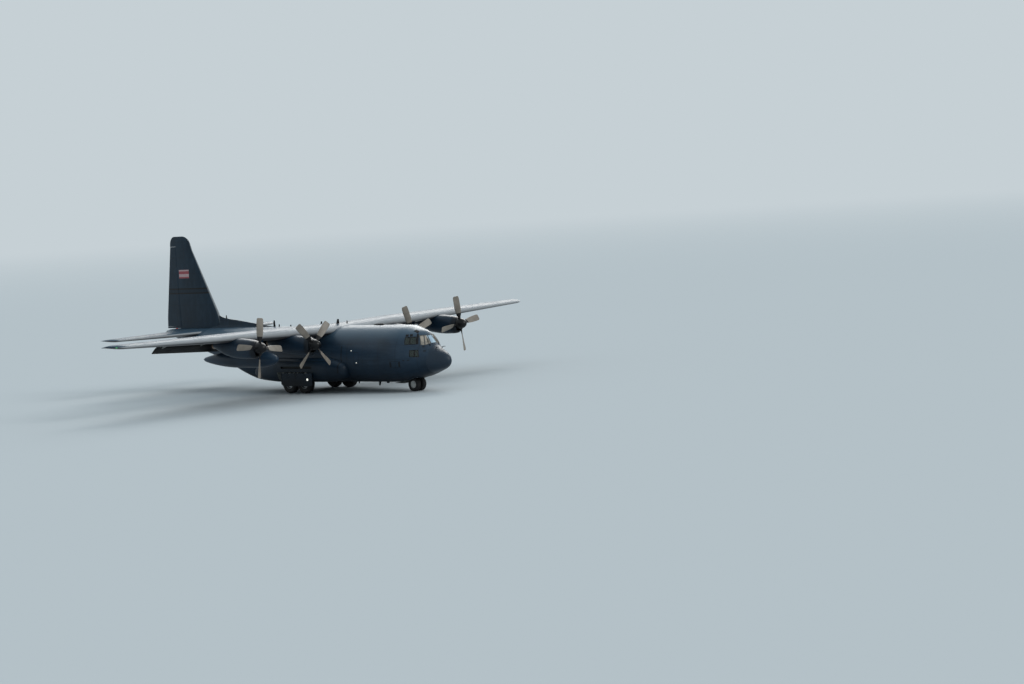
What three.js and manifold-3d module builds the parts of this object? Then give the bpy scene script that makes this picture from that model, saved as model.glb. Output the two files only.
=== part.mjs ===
// Military transport plane: a high-wing, four-engine turboprop, parked on its wheels.
// Every size below is the real aircraft's, in millimetres. The group at the end brings it to 1:2.
// +X points forward, +Y to port, +Z up from the ground. s is a station: millimetres aft of the nose tip.

import * as THREE from 'three';
import * as BufferGeometryUtils from 'three/addons/utils/BufferGeometryUtils.js';
import Module from 'manifold-3d';

const wasm = await Module();
wasm.setup();

// Overall sizes
const MODEL_SCALE = 0.5;
const LENGTH = 29790;
const SPAN = 40410;
const SEAT_GAP = 0.7;
const RUN_GAP = 14;
const TURN_GAP = 1.5;
const SHAFT_SIDES = 24;
const FAR = 30000;
const CLEAR = 2500;

const GREY = { color: 0x59656f, roughness: 0.5, metalness: 0.1 };
const DARK_GREY = { color: 0x39424a, roughness: 0.55, metalness: 0.1 };
const STEEL = { color: 0x9aa0a5, roughness: 0.35, metalness: 0.8 };
const WHITE = { color: 0xc9ccce, roughness: 0.5, metalness: 0.1 };
const TYRE = { color: 0x17181a, roughness: 0.85, metalness: 0.0 };
const GLASS = { color: 0x1d262c, roughness: 0.1, metalness: 0.0 };
const CLOTH = { color: 0x4a4f45, roughness: 0.9, metalness: 0.0 };
const BLADE_LOOK = { color: 0x6d6c68, roughness: 0.5, metalness: 0.1 };

const x = (s) => LENGTH / 2 - s;
const radians = THREE.MathUtils.degToRad;

// Solids

function signedVolume(points, index) {
  let total = 0;
  for (let i = 0; i < index.length; i += 3) {
    const [a, b, c] = [points[index[i]], points[index[i + 1]], points[index[i + 2]]];
    total += a[0] * (b[1] * c[2] - b[2] * c[1]);
    total += a[1] * (b[2] * c[0] - b[0] * c[2]);
    total += a[2] * (b[0] * c[1] - b[1] * c[0]);
  }
  return total / 6;
}

function solidOf(points, index) {
  const outward = signedVolume(points, index) > 0;
  const triangles = outward ? index : index.map((_, i) => index[i - (i % 3) + [0, 2, 1][i % 3]]);
  const mesh = new wasm.Mesh({
    numProp: 3,
    vertProperties: new Float32Array(points.flat()),
    triVerts: new Uint32Array(triangles),
  });
  return new wasm.Manifold(mesh);
}

// A solid through like loops of points. plane names the two coordinates its flat ends are drawn in.
function loft(loops, plane) {
  const count = loops[0].length;
  const index = [];
  for (let k = 0; k + 1 < loops.length; k += 1) {
    for (let i = 0; i < count; i += 1) {
      const next = (i + 1) % count;
      const [a, b] = [k * count + i, k * count + next];
      index.push(a, b, b + count, a, b + count, a + count);
    }
  }
  for (const end of [0, loops.length - 1]) {
    const contour = loops[end].map((p) => new THREE.Vector2(p[plane[0]], p[plane[1]]));
    const along = THREE.ShapeUtils.area(contour) > 0;
    for (const [a, b, c] of THREE.ShapeUtils.triangulateShape(contour, [])) {
      const turn = (contour[b].x - contour[a].x) * (contour[c].y - contour[a].y)
        - (contour[b].y - contour[a].y) * (contour[c].x - contour[a].x);
      const keep = (turn > 0 === along) === (end > 0);
      const face = keep ? [a, b, c] : [a, c, b];
      index.push(...face.map((i) => i + end * count));
    }
  }
  return solidOf(loops.flat(), index);
}

function solidFrom(geometry) {
  const bare = geometry.index ? geometry.toNonIndexed() : geometry.clone();
  bare.deleteAttribute('normal');
  bare.deleteAttribute('uv');
  const merged = BufferGeometryUtils.mergeVertices(bare, 1e-3);
  const flat = merged.attributes.position.array;
  const points = Array.from({ length: flat.length / 3 }, (_, i) => Array.from(flat.slice(3 * i, 3 * i + 3)));
  const all = Array.from(merged.index.array);
  const index = [];
  for (let i = 0; i < all.length; i += 3) {
    const [a, b, c] = all.slice(i, i + 3);
    if (a !== b && b !== c && c !== a) index.push(a, b, c);
  }
  return solidOf(points, index);
}

// A box between two stations, two widths and two heights
function box(s0, s1, y0, y1, z0, z1) {
  const geometry = new THREE.BoxGeometry(s1 - s0, y1 - y0, z1 - z0);
  geometry.translate(x((s0 + s1) / 2), (y0 + y1) / 2, (z0 + z1) / 2);
  return solidFrom(geometry);
}

// An outline of [s, z] points drawn from y0 to y1
function slab(outline, y0, y1) {
  return loft([y0, y1].map((y) => outline.map(([s, z]) => [x(s), y, z])), [0, 2]);
}

// An outline of [s, y] points drawn from z0 to z1
function plate(outline, z0, z1) {
  return loft([z0, z1].map((z) => outline.map(([s, y]) => [x(s), y, z])), [0, 1]);
}

// A round rod between two points
function rod(from, to, radius, sides = 12) {
  const [a, b] = [new THREE.Vector3(...from), new THREE.Vector3(...to)];
  const geometry = new THREE.CylinderGeometry(radius, radius, a.distanceTo(b), sides);
  const turn = new THREE.Quaternion().setFromUnitVectors(
    new THREE.Vector3(0, 1, 0),
    b.clone().sub(a).normalize(),
  );
  geometry.applyQuaternion(turn);
  geometry.translate(...a.add(b).multiplyScalar(0.5).toArray());
  return solidFrom(geometry);
}

// A turned shape about the X axis (forward) or the Y axis, from [radius, distance along] points
function turned(profile, axis, centre, sides) {
  const geometry = new THREE.LatheGeometry(profile.map(([r, d]) => new THREE.Vector2(r, d)), sides);
  if (axis === 'x') geometry.rotateZ(-Math.PI / 2);
  geometry.translate(...centre);
  return solidFrom(geometry);
}

function joined(solids) {
  return solids.reduce((whole, solid) => whole.add(solid));
}

// Of the separate bodies that a cut leaves, the lowest
function lowest(solid) {
  const bottom = (body) => body.boundingBox().min[2];
  return solid.decompose().reduce((best, body) => (bottom(body) < bottom(best) ? body : best));
}

// Points round a unit circle, squared off where the power is under 1
function round(count, power = 1) {
  return Array.from({ length: count }, (_, i) => {
    const angle = (2 * Math.PI * i) / count;
    return [Math.cos(angle), Math.sin(angle)].map((c) => Math.sign(c) * Math.abs(c) ** power);
  });
}

// Values of a table row between two of its rows, by its first column
function rowAt(table, key, at) {
  const upper = Math.max(1, table.findIndex((row) => row[key] >= at));
  const [a, b] = [table[upper - 1], table[upper]];
  const t = (at - a[key]) / (b[key] - a[key]);
  return Object.fromEntries(Object.keys(a).map((name) => [name, a[name] + t * (b[name] - a[name])]));
}

function rows(names, values) {
  return values.map((row) => Object.fromEntries(names.map((name, i) => [name, row[i]])));
}

// Fuselage

const HULL = rows(['s', 'half', 'top', 'wide', 'bottom', 'high', 'low'], [
  [0, 90, 2230, 2140, 2040, 2.0, 2.0],
  [150, 300, 2500, 2120, 1800, 2.0, 2.0],
  [460, 580, 2740, 2100, 1590, 2.0, 2.1],
  [920, 890, 2980, 2100, 1420, 1.9, 2.2],
  [1280, 1060, 3200, 2120, 1300, 1.85, 2.3],
  [1710, 1260, 3760, 2200, 1160, 1.7, 2.4],
  [2110, 1480, 4220, 2280, 1050, 1.75, 2.5],
  [2880, 1820, 4450, 2360, 900, 2.0, 2.7],
  [3730, 2030, 4650, 2440, 730, 2.1, 2.9],
  [5000, 2160, 4670, 2500, 680, 2.0, 3.0],
  [17300, 2160, 4670, 2500, 700, 2.0, 3.0],
  [18200, 2160, 4670, 2500, 800, 2.0, 3.0],
  [19200, 2150, 4670, 2540, 1140, 2.0, 3.0],
  [20376, 2100, 4670, 2640, 1700, 2.0, 3.0],
  [22500, 1930, 4670, 2980, 2620, 2.0, 3.0],
  [25000, 1550, 4670, 3520, 3300, 2.0, 2.8],
  [27500, 1020, 4665, 4050, 3880, 2.0, 2.4],
  [29000, 560, 4610, 4330, 4180, 2.0, 2.2],
  [LENGTH, 200, 4480, 4360, 4270, 2.0, 2.0],
]);
const HULL_SIDES = 24;

function hullLoop(row, grow) {
  const lower = round(HULL_SIDES, 2 / row.low);
  return round(HULL_SIDES, 2 / row.high).map((upper, i) => {
    const below = upper[1] < 0;
    const [c, d] = below ? lower[i] : upper;
    const reach = below ? row.wide - row.bottom : row.top - row.wide;
    return [x(row.s), (row.half + grow) * c, row.wide + (reach + grow) * d];
  });
}

function hull(grow = 0) {
  return loft(HULL.map((row) => hullLoop(row, grow)), [1, 2]);
}

// Hollow inside: half a section from the floor corner up to the roof corner
const HOLLOW_COLUMNS = [
  's', 'floorY', 'floorZ', 'kneeY', 'kneeZ', 'lowY', 'lowZ',
  'highY', 'highZ', 'armY', 'armZ', 'roofY', 'roofZ',
];
const HOLLOW_CORNERS = ['floor', 'knee', 'low', 'high', 'arm', 'roof'];
const HOLD_HOLLOW = rows(HOLLOW_COLUMNS, [
  [4150, 1400, 970, 1560, 1850, 1930, 2300, 1880, 3100, 1560, 3740, 760, 4400],
  [5000, 1500, 970, 1580, 1850, 2010, 2300, 1960, 3100, 1640, 3760, 760, 4420],
  [17370, 1500, 970, 1580, 1850, 2010, 2300, 1960, 3100, 1640, 3760, 760, 4420],
  [17372, 1500, 1060, 1780, 1700, 2010, 2300, 1960, 3100, 1640, 3760, 760, 4420],
  [20350, 1500, 1990, 1740, 2200, 1890, 2600, 1880, 3200, 1600, 3800, 760, 4420],
  [22500, 1340, 2880, 1580, 2960, 1720, 3100, 1680, 3460, 1390, 3900, 720, 4280],
  [23700, 1240, 3140, 1440, 3210, 1560, 3330, 1520, 3650, 1260, 3960, 700, 4200],
  [24200, 1170, 3320, 1320, 3370, 1450, 3460, 1420, 3640, 1180, 3860, 700, 3980],
  [26400, 780, 3780, 880, 3800, 960, 3840, 920, 3870, 760, 3920, 500, 3960],
]);
const DECK_HOLLOW = rows(HOLLOW_COLUMNS, [
  [1760, 950, 2250, 990, 2450, 1000, 2650, 900, 2950, 640, 3280, 300, 3520],
  [2150, 1180, 2250, 1210, 2600, 1200, 2900, 1050, 3300, 740, 3640, 280, 3900],
  [2880, 1400, 2250, 1500, 2700, 1540, 3050, 1380, 3450, 1020, 3900, 520, 4200],
  [4160, 1740, 2250, 1850, 2750, 1890, 3100, 1760, 3500, 1380, 3980, 760, 4400],
]);

function hollow(table) {
  const loops = table.map((row) => {
    const side = HOLLOW_CORNERS.map((name) => [row[`${name}Y`], row[`${name}Z`]]);
    const other = side.map(([y, z]) => [-y, z]).reverse();
    return [...side, ...other].map(([y, z]) => [x(row.s), y, z]);
  });
  return loft(loops, [1, 2]);
}

const RADOME_JOINT = 1290;
const FORWARD_JOINT = 5900;
const AFT_JOINT = 17350;
const OUTER = hull();
const SKIN_DEPTH = 130;
const SHELL = OUTER.subtract(hollow(HOLD_HOLLOW)).subtract(hollow(DECK_HOLLOW));
const skinOf = (depth) => OUTER.subtract(hull(-depth));
const SKIN = skinOf(SKIN_DEPTH);

// Flat pads that jacks lift the aircraft by, under the belly
const PAD_SIZE = 140;
const JACK_PADS = rows(['s', 'y', 'z0', 'z1'], [
  [5300, 900, 640, 900],
  [15400, 1120, 650, 950],
]);
const jackPads = (row) => [1, -1].map((side) => {
  const [s, y] = [row.s, side * row.y];
  const half = PAD_SIZE / 2;
  return box(s - half, s + half, y - half, y + half, row.z0, row.z1);
});

const between = (s0, s1) => box(s0, s1, -FAR, FAR, -FAR, FAR);

// Wing, tailplane and fin sections

const FOIL_STEPS = 8;

// Half the depth and the camber of a section, u along its chord
function foilAt(row, u) {
  const shape = 0.2969 * Math.sqrt(u) - 0.126 * u - 0.3516 * u ** 2 + 0.2843 * u ** 3 - 0.1016 * u ** 4;
  return [5 * row.depth * shape, 4 * row.camber * u * (1 - u)];
}

// Station and height of a point on a section: u along the chord, v above it
const foilPoint = (row, u, v) => [row.le + u * row.chord, row.base + v - (u - 0.25) * row.drop];

function foilLoop(row, grow = 0) {
  const loop = [];
  for (let i = FOIL_STEPS; i >= -FOIL_STEPS; i -= 1) {
    const u = (1 - Math.cos((Math.PI * Math.abs(i)) / FOIL_STEPS)) / 2;
    const [half, camber] = foilAt(row, u);
    const sign = Math.sign(i);
    const [s, z] = foilPoint(row, u, camber + sign * (half + grow));
    loop.push([s + grow * (2 * u - 1), z]);
  }
  return loop;
}

// Centre and radius of the round front of a control surface hinged at part u of the chord
function hingeAt(row, u) {
  const [radius, camber] = foilAt(row, u);
  const [s, z] = foilPoint(row, u, camber);
  return { s, z, radius };
}

const NOSE_STEPS = 6;
const ROOM_FRONT = 0.4;

function noseArc({ s, z, radius }, grow) {
  const arc = [];
  for (let i = 0; i <= NOSE_STEPS; i += 1) {
    const angle = Math.PI * (0.5 + i / NOSE_STEPS);
    arc.push([s + (radius + grow) * Math.cos(angle), z + (radius + grow) * Math.sin(angle)]);
  }
  return arc;
}

// A control surface: the section behind its hinge, with a round front
function controlLoop(row, u) {
  const [edge, camber] = foilAt(row, 1);
  const [s, z] = foilPoint(row, 1, camber);
  return [...noseArc(hingeAt(row, u), 0), [s, z - edge], [s, z + edge]];
}

// The room that it turns in
function controlRoom(row, u) {
  const hinge = hingeAt(row, u);
  const front = hinge.s - ROOM_FRONT * hinge.radius;
  const arc = noseArc(hinge, RUN_GAP).filter(([s]) => s < front);
  return [
    [front, hinge.z + CLEAR], ...arc, [front, hinge.z - CLEAR],
    [hinge.s + FAR, hinge.z - CLEAR], [hinge.s + FAR, hinge.z + CLEAR],
  ];
}

// Sections drawn along a span: across for wings and tailplane, upright for the fin
const across = (side) => (span, loop) => loop.map(([s, z]) => [x(s), side * span, z]);
const upright = (span, loop) => loop.map(([s, y]) => [x(s), y, span]);
const ACROSS_PLANE = [0, 2];
const UPRIGHT_PLANE = [0, 1];

function surface(table, place, plane, grow = 0) {
  return loft(table.map((row) => place(row.span, foilLoop(row, grow))), plane);
}

// Wing

const FOIL_COLUMNS = ['span', 'le', 'chord', 'depth', 'camber', 'base', 'drop'];
const DIHEDRAL = Math.tan(radians(1.6));
const WING_Z = 4330;
const WING_JOINT = 5600;
const WING = [
  [0, 10150, 4880, 878, 80, 256],
  [WING_JOINT, 10150, 4880, 854, 80, 256],
  [19500, 10740, 2560, 312, 43, 23],
  [19850, 10980, 2210, 215, 30, 17],
  [20050, 11240, 1800, 140, 20, 13],
  [SPAN / 2, 11830, 850, 50, 10, 5],
].map(([span, le, chord, depth, camber, drop]) => (
  { span, le, chord, depth, camber, drop, base: WING_Z + span * DIHEDRAL }
));
const SADDLE_Z = 3930;
const SADDLE_START = 9800;
const SADDLE_END = 15500;
const SADDLE_HALF = 1900;

const FLAP_ROOT = 2300;
const FLAP_END = 14300;
const FLAP_CHORD = 0.27;
const FLAP_ANGLE = radians(33);
const COVE = 0.74;
const COVE_OVERRUN = 600;
const SHROUD = 100;
const SHROUD_EDGE = 25;
const AILERON_START = 14500;
const AILERON_END = 19360;
const AILERON_HINGE = 0.77;

const wingAt = (span) => rowAt(WING, 'span', span);

function wingSolid(from, to, side, grow = 0) {
  const inside = WING.filter((row) => row.span > from && row.span < to);
  const table = [wingAt(from), ...inside, wingAt(to)];
  return surface(table, across(side), ACROSS_PLANE, grow);
}

// The room under the fixed upper skin that a run-out flap leaves
function coveLoop(row) {
  const [half, camber] = foilAt(row, COVE);
  const [s, z] = foilPoint(row, COVE, camber + half);
  const [endS, endZ] = foilPoint(row, 1, 0);
  const [roof, tip] = [z - SHROUD, endZ - SHROUD_EDGE];
  const rise = (tip - roof) / (endS - s);
  const far = endS + COVE_OVERRUN;
  return [[s, roof], [far, roof + rise * (far - s)], [far, tip - CLEAR], [s, tip - CLEAR]];
}

function cove(from, to, side) {
  return loft([from, to].map((span) => across(side)(span, coveLoop(wingAt(span)))), ACROSS_PLANE);
}

// The flap's own place: its front edge under the wing's trailing edge, turned down
const FLAP_FORWARD = 60;
const FLAP_DOWN = 190;
const FLAP_DEPTH = 0.15;
const FLAP_CAMBER = 0.02;

function flapFront(row) {
  const [s, z] = foilPoint(row, 1, 0);
  return [s - FLAP_FORWARD, z - FLAP_DOWN];
}

function flapLoop(row) {
  const [s0, z0] = flapFront(row);
  const chord = FLAP_CHORD * row.chord;
  const own = { le: 0, chord, depth: FLAP_DEPTH * chord, camber: FLAP_CAMBER * chord, base: 0, drop: 0 };
  const [c, d] = [Math.cos(FLAP_ANGLE), Math.sin(FLAP_ANGLE)];
  return foilLoop(own).map(([u, v]) => [s0 + u * c + v * d, z0 - u * d + v * c]);
}

// An arm that carries the flap from the wing's rear face. Its tip is drawn from the flap's front edge.
const FLAP_ARM_HALF = 45;
const ARM_HEAD = 60;
const ARM_HEEL = 40;
const ARM_TIP = [[160, -172], [190, -110], [-60, -10]];
const INBOARD_ARMS = [3000, 5300];
const OUTBOARD_ARMS = [6300, 9900, 13800];

function flapArmLoop(row) {
  const [half, camber] = foilAt(row, COVE);
  const [wall, top] = foilPoint(row, COVE, camber + half);
  const [s, z] = flapFront(row);
  return [
    [wall + SEAT_GAP, top - SHROUD - ARM_HEAD],
    [wall + SEAT_GAP, top - 2 * half + ARM_HEEL],
    ...ARM_TIP.map(([aft, up]) => [s + aft, z + up]),
  ];
}

function flapArm(span, side) {
  const ends = [span - FLAP_ARM_HALF, span + FLAP_ARM_HALF];
  return loft(ends.map((end) => across(side)(end, flapArmLoop(wingAt(end)))), ACROSS_PLANE);
}

function flap(from, to, side, arms) {
  const skin = loft([from, to].map((span) => across(side)(span, flapLoop(wingAt(span)))), ACROSS_PLANE);
  return joined([skin, ...arms.map((span) => flapArm(span, side))]);
}

// Pins at both ends of a control surface, along its hinge line
const PIN_RADIUS = 16;
const PIN_REACH = 70;
const PIN_ROOT = 60;
const PIN_END_GAP = 3;

function pins(table, place, ends, u, radius, extra = 0) {
  const centres = ends.map((span) => {
    const hinge = hingeAt(rowAt(table, 'span', span), u);
    return new THREE.Vector3(...place(span, [[hinge.s, hinge.z]])[0]);
  });
  const along = centres[1].clone().sub(centres[0]).normalize();
  return centres.map((centre, i) => {
    const outward = along.clone().multiplyScalar(i === 0 ? -1 : 1);
    const start = centre.clone().addScaledVector(outward, -PIN_ROOT);
    const end = centre.clone().addScaledVector(outward, PIN_REACH + extra);
    return rod(start.toArray(), end.toArray(), radius);
  });
}

// A control surface between two ends of a hinge line, with its pins
function control(table, place, plane, ends, u) {
  const loops = ends.map((span) => place(span, controlLoop(rowAt(table, 'span', span), u)));
  return joined([loft(loops, plane), ...pins(table, place, ends, u, PIN_RADIUS)]);
}

// What its carrier loses: the room it turns in, and the pin holes
function controlCut(table, place, plane, ends, u) {
  const room = [ends[0] - RUN_GAP, ends[1] + RUN_GAP];
  const loops = room.map((span) => place(span, controlRoom(rowAt(table, 'span', span), u)));
  return joined([loft(loops, plane), ...pins(table, place, ends, u, PIN_RADIUS + SEAT_GAP, PIN_END_GAP)]);
}

const AILERON_ENDS = [AILERON_START, AILERON_END];

function outerWing(side) {
  const whole = wingSolid(WING_JOINT + SEAT_GAP, SPAN / 2, side);
  const room = controlCut(WING, across(side), ACROSS_PLANE, AILERON_ENDS, AILERON_HINGE);
  return whole.subtract(cove(WING_JOINT, FLAP_END + RUN_GAP, side)).subtract(room);
}

function centreWing() {
  const right = wingSolid(0, WING_JOINT, -1);
  const left = wingSolid(0, WING_JOINT, 1);
  const crown = OUTER.intersect(
    box(SADDLE_START + SEAT_GAP, SADDLE_END - SEAT_GAP, -SADDLE_HALF, SADDLE_HALF, SADDLE_Z + SEAT_GAP, FAR),
  );
  const coves = [1, -1].map((side) => cove(FLAP_ROOT - RUN_GAP, WING_JOINT, side));
  return joined([right, left]).subtract(joined(coves)).add(crown);
}

// Engines

const ENGINES = rows(['number', 'y', 'z', 'restTurn'], [
  [1, 10050, 3950, 9],
  [2, 4950, 3720, 20],
  [3, -4950, 3720, 45],
  [4, -10050, 3950, -6],
]);
const PROP_S = 8300;
const NACELLE_FRONT = 8470;
const NACELLE_END = 12600;
const PROP_RADIUS = 2055;
const SHAFT_RADIUS = 110;
const BORE_REACH = 260;
const INTAKE = { depth: 500, half: 230, low: 480, high: 300 };

// Half width, height of the top and depth of the underside about the propeller shaft
const NACELLE = rows(['s', 'half', 'top', 'bottom', 'square'], [
  [NACELLE_FRONT, 430, 400, 560, 2.2],
  [8600, 500, 480, 690, 2.3],
  [8900, 560, 560, 730, 2.4],
  [9600, 600, 640, 740, 2.5],
  [10800, 610, 700, 640, 2.6],
  [11500, 590, 650, 470, 2.6],
  [12100, 520, 580, 220, 2.5],
  [12700, 400, 500, -20, 2.4],
]);
const NACELLE_SIDES = 20;

function nacelle({ y, z }) {
  const side = Math.sign(y);
  const loops = NACELLE.map((row) => {
    const centre = (row.top - row.bottom) / 2;
    const reach = (row.top + row.bottom) / 2;
    const ring = round(NACELLE_SIDES, 2 / row.square);
    return ring.map(([c, d]) => [x(row.s), y + row.half * c, z + centre + reach * d]);
  });
  const { depth, half, low, high } = INTAKE;
  const intake = box(PROP_S, NACELLE_FRONT + depth, y - half, y + half, z - low, z - high);
  const boreEnd = [x(NACELLE_FRONT + BORE_REACH), y, z];
  const bore = rod([x(PROP_S), y, z], boreEnd, SHAFT_RADIUS + TURN_GAP, SHAFT_SIDES);
  const flapRoom = between(NACELLE_END, FAR);
  const wing = wingSolid(0, SPAN / 2, side, SEAT_GAP);
  const cut = loft(loops, [1, 2]).subtract(joined([intake, wing])).subtract(joined([bore, flapRoom]));
  return lowest(cut);
}

// Blade sections from the hub out: distance, chord, thickness, twist from the disc
const BLADE = rows(['r', 'chord', 'thick', 'twist'], [
  [230, 170, 150, 60],
  [430, 190, 130, 56],
  [700, 360, 80, 46],
  [1250, 470, 50, 34],
  [1800, 480, 34, 25],
  [1990, 450, 28, 22],
  [PROP_RADIUS, 330, 20, 21],
]);
const BLADE_CORNERS = [[-0.5, 0], [-0.3, 0.5], [0.1, 0.5], [0.5, 0], [0.1, -0.5], [-0.3, -0.5]];

function blade(turn) {
  const loops = BLADE.map((row) => {
    const twist = radians(row.twist);
    return BLADE_CORNERS.map(([a, b]) => {
      const [width, depth] = [a * row.chord, b * row.thick];
      const forward = width * Math.sin(twist) + depth * Math.cos(twist);
      const sideways = width * Math.cos(twist) - depth * Math.sin(twist);
      return [forward, sideways, row.r];
    });
  });
  const spun = (loop) => loop.map(([a, b, c]) => [
    a,
    b * Math.cos(turn) - c * Math.sin(turn),
    b * Math.sin(turn) + c * Math.cos(turn),
  ]);
  return loft(loops.map(spun), Math.abs(Math.cos(turn)) > 0.7 ? [0, 1] : [0, 2]);
}

const SPINNER = [
  [0, 560], [160, 520], [290, 380], [370, 160], [390, 0], [390, -150], [0, -150],
];
const SHAFT_ROOT = -140;
const SHAFT_END = -400;
const SPINNER_SIDES = 18;

function propeller({ restTurn }) {
  const spinner = turned(SPINNER, 'x', [0, 0, 0], SPINNER_SIDES);
  const shaft = rod([SHAFT_ROOT, 0, 0], [SHAFT_END, 0, 0], SHAFT_RADIUS, SHAFT_SIDES);
  const blades = [0, 90, 180, 270].map((step) => blade(radians(step + restTurn)));
  return joined([spinner, shaft, ...blades]);
}

// External tanks

const TANK_Y = 7630;
const TANK_Z = 2950;
const TANK_PROFILE = [
  [0, 0], [170, -90], [330, -330], [470, -800], [560, -1500], [575, -2100], [575, -4200],
  [520, -5200], [400, -6200], [220, -7200], [60, -7700], [0, -7760],
];
const TANK_START = 9210;
const TANK_SIDES = 16;
const PYLON = [[10900, 3250], [13500, 3250], [13500, 5200], [10300, 5200]];
const PYLON_HALF = 110;

function tank(side) {
  const body = turned(TANK_PROFILE, 'x', [x(TANK_START), side * TANK_Y, TANK_Z], TANK_SIDES);
  const pylon = slab(PYLON, side * TANK_Y - PYLON_HALF, side * TANK_Y + PYLON_HALF);
  const wing = wingSolid(0, SPAN / 2, side, SEAT_GAP);
  return joined([body, lowest(pylon.subtract(wing))]);
}

// Tail

const TAIL_SADDLE_Z = 4080;
const TAIL_SADDLE_START = 24300;
const TAIL_SADDLE_END = 28300;
const STABILISER = rows(FOIL_COLUMNS, [
  [0, 24565, 4250, 510, 0, 4370, 0],
  [700, 24600, 4200, 504, 0, 4370, 0],
  [7650, 26035, 2150, 236, 0, 4370, 0],
  [8025, 26435, 1500, 105, 0, 4370, 0],
]);
const ELEVATOR_ENDS = [900, 7250];
const ELEVATOR_HINGE = 0.7;

const FIN_ROOT = 4670.8;
const FIN = rows(FOIL_COLUMNS, [
  [FIN_ROOT, 23330, 6290, 629, 0, 0, 0],
  [5530, 23530, 6020, 602, 0, 0, 0],
  [10950, 26400, 2290, 229, 0, 0, 0],
  [11250, 26570, 2090, 195, 0, 0, 0],
  [11500, 26780, 1820, 130, 0, 0, 0],
  [11660, 27110, 1290, 70, 0, 0, 0],
]);
const RUDDER_ENDS = [4800, 10880];
const RUDDER_HINGE = 0.72;
const DORSAL = [
  [17600, FIN_ROOT], [18640, 4790], [21360, 5160], [22990, 5380], [23900, 5750], [24200, FIN_ROOT],
];
const DORSAL_HALF = 70;

function tailplane() {
  const cuts = [1, -1].map((side) =>
    controlCut(STABILISER, across(side), ACROSS_PLANE, ELEVATOR_ENDS, ELEVATOR_HINGE));
  const halves = [1, -1].map((side) => surface(STABILISER, across(side), ACROSS_PLANE));
  const crown = OUTER.intersect(
    box(TAIL_SADDLE_START + SEAT_GAP, TAIL_SADDLE_END - SEAT_GAP, -FAR, FAR, TAIL_SADDLE_Z + SEAT_GAP, FAR),
  );
  return joined([...halves, crown]).subtract(joined(cuts));
}

function fin() {
  const dorsal = slab(DORSAL, -DORSAL_HALF, DORSAL_HALF);
  const room = controlCut(FIN, upright, UPRIGHT_PLANE, RUDDER_ENDS, RUDDER_HINGE);
  return surface(FIN, upright, UPRIGHT_PLANE).add(dorsal).subtract(room);
}

// Windows, as [first station, last station, low, high, half width from, half width to]

const GLASS_DEPTH = 45;
const WINDOWS = rows(['name', 's0', 's1', 'y0', 'y1', 'z0', 'z1'], [
  ['windshield', 1300, 2200, -780, 780, 3300, 3930],
  ['side_window_left', 1900, 2900, 900, 2200, 3340, 3950],
  ['side_window_right', 1900, 2900, -2200, -900, 3340, 3950],
  ['lower_window_left', 1790, 2400, 1000, 2200, 2510, 2990],
  ['lower_window_right', 1790, 2400, -2200, -1000, 2510, 2990],
]);

const windowBox = ({ s0, s1, y0, y1, z0, z1 }, grow = 0) =>
  box(s0 - grow, s1 + grow, y0 - grow, y1 + grow, z0 - grow, z1 + grow);

// Doors in the fuselage side

const DOOR_COLUMNS = ['s0', 's1', 'z0', 'z1'];
const [CREW_DOOR, TROOP_DOOR] = rows(DOOR_COLUMNS, [
  [4250, 5010, 1060, 2560],
  [17850, 18750, 1250, 2950],
]);
const PANEL_INNER_Y = 1520;
const DOORWAY_INNER_Y = 1400;
const CREW_HINGE_IN = 28;
const CREW_PIN_RADIUS = 14;

// Half width of the fuselage at a station and height
function hullHalf(s, z) {
  const row = rowAt(HULL, 's', s);
  const below = z < row.wide;
  const part = below ? (row.wide - z) / (row.wide - row.bottom) : (z - row.wide) / (row.top - row.wide);
  const power = below ? row.low : row.high;
  return row.half * (1 - part ** power) ** (1 / power);
}

function crewHinge(reach) {
  const z = CREW_DOOR.z0 + CREW_HINGE_IN;
  const at = (s) => new THREE.Vector3(x(s), hullHalf(s, z) - CREW_HINGE_IN, z);
  const [front, rear] = [at(CREW_DOOR.s0), at(CREW_DOOR.s1)];
  const along = rear.clone().sub(front).normalize();
  return [front.addScaledVector(along, -reach).toArray(), rear.addScaledVector(along, reach).toArray()];
}

function doorBox({ s0, s1, z0, z1 }, side, inner, grow) {
  const [y0, y1] = side > 0 ? [inner, FAR] : [-FAR, -inner];
  return box(s0 - grow, s1 + grow, y0, y1, z0 - grow, z1 + grow);
}

function crewDoor() {
  const panel = SKIN.intersect(doorBox(CREW_DOOR, 1, PANEL_INNER_Y, 0));
  return panel.add(rod(...crewHinge(PIN_REACH), CREW_PIN_RADIUS));
}

const crewDoorCut = () => joined([
  doorBox(CREW_DOOR, 1, DOORWAY_INNER_Y, 2 * RUN_GAP),
  rod(...crewHinge(PIN_REACH + PIN_END_GAP), CREW_PIN_RADIUS + SEAT_GAP),
]);

const troopDoor = (side) => SKIN.intersect(doorBox(TROOP_DOOR, side, PANEL_INNER_Y, 0));

// Ramp and the cargo door behind it

const RAMP_HALF = 1486;
const RAMP_HINGE = [17450, 800];
const RAMP_OUTLINE = [
  [17400, 1030], [17400, 850], [17432, 650], [17432, 300], [20340, 300], [20340, 1700], [20220, 1900],
];
const LUG_YS = [-750, 750];
const LUG_HALF = 80;
const LUG_RADIUS = 45;
const RAMP_PIN = 18;
const RAMP_PIN_SEAT = 40;
const LUG_ROOT = 40;
const NOTCH_FRONT = 200;

const CARGO_HINGE = [24500, 3290];
const CARGO_OUTLINE = [
  [20376, 300], [24540, 300], [24540, 3350], [22500, 2850], [20270, 1887], [20376, 1710],
];
const CARGO_PLAN = [
  [20000, 1486], [20376, 1486], [24600, 1160], [24600, -1160], [20376, -1486], [20000, -1486],
];
const CARGO_PIN_FROM = 1120;
const CARGO_PIN_TO = 1250;

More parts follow.
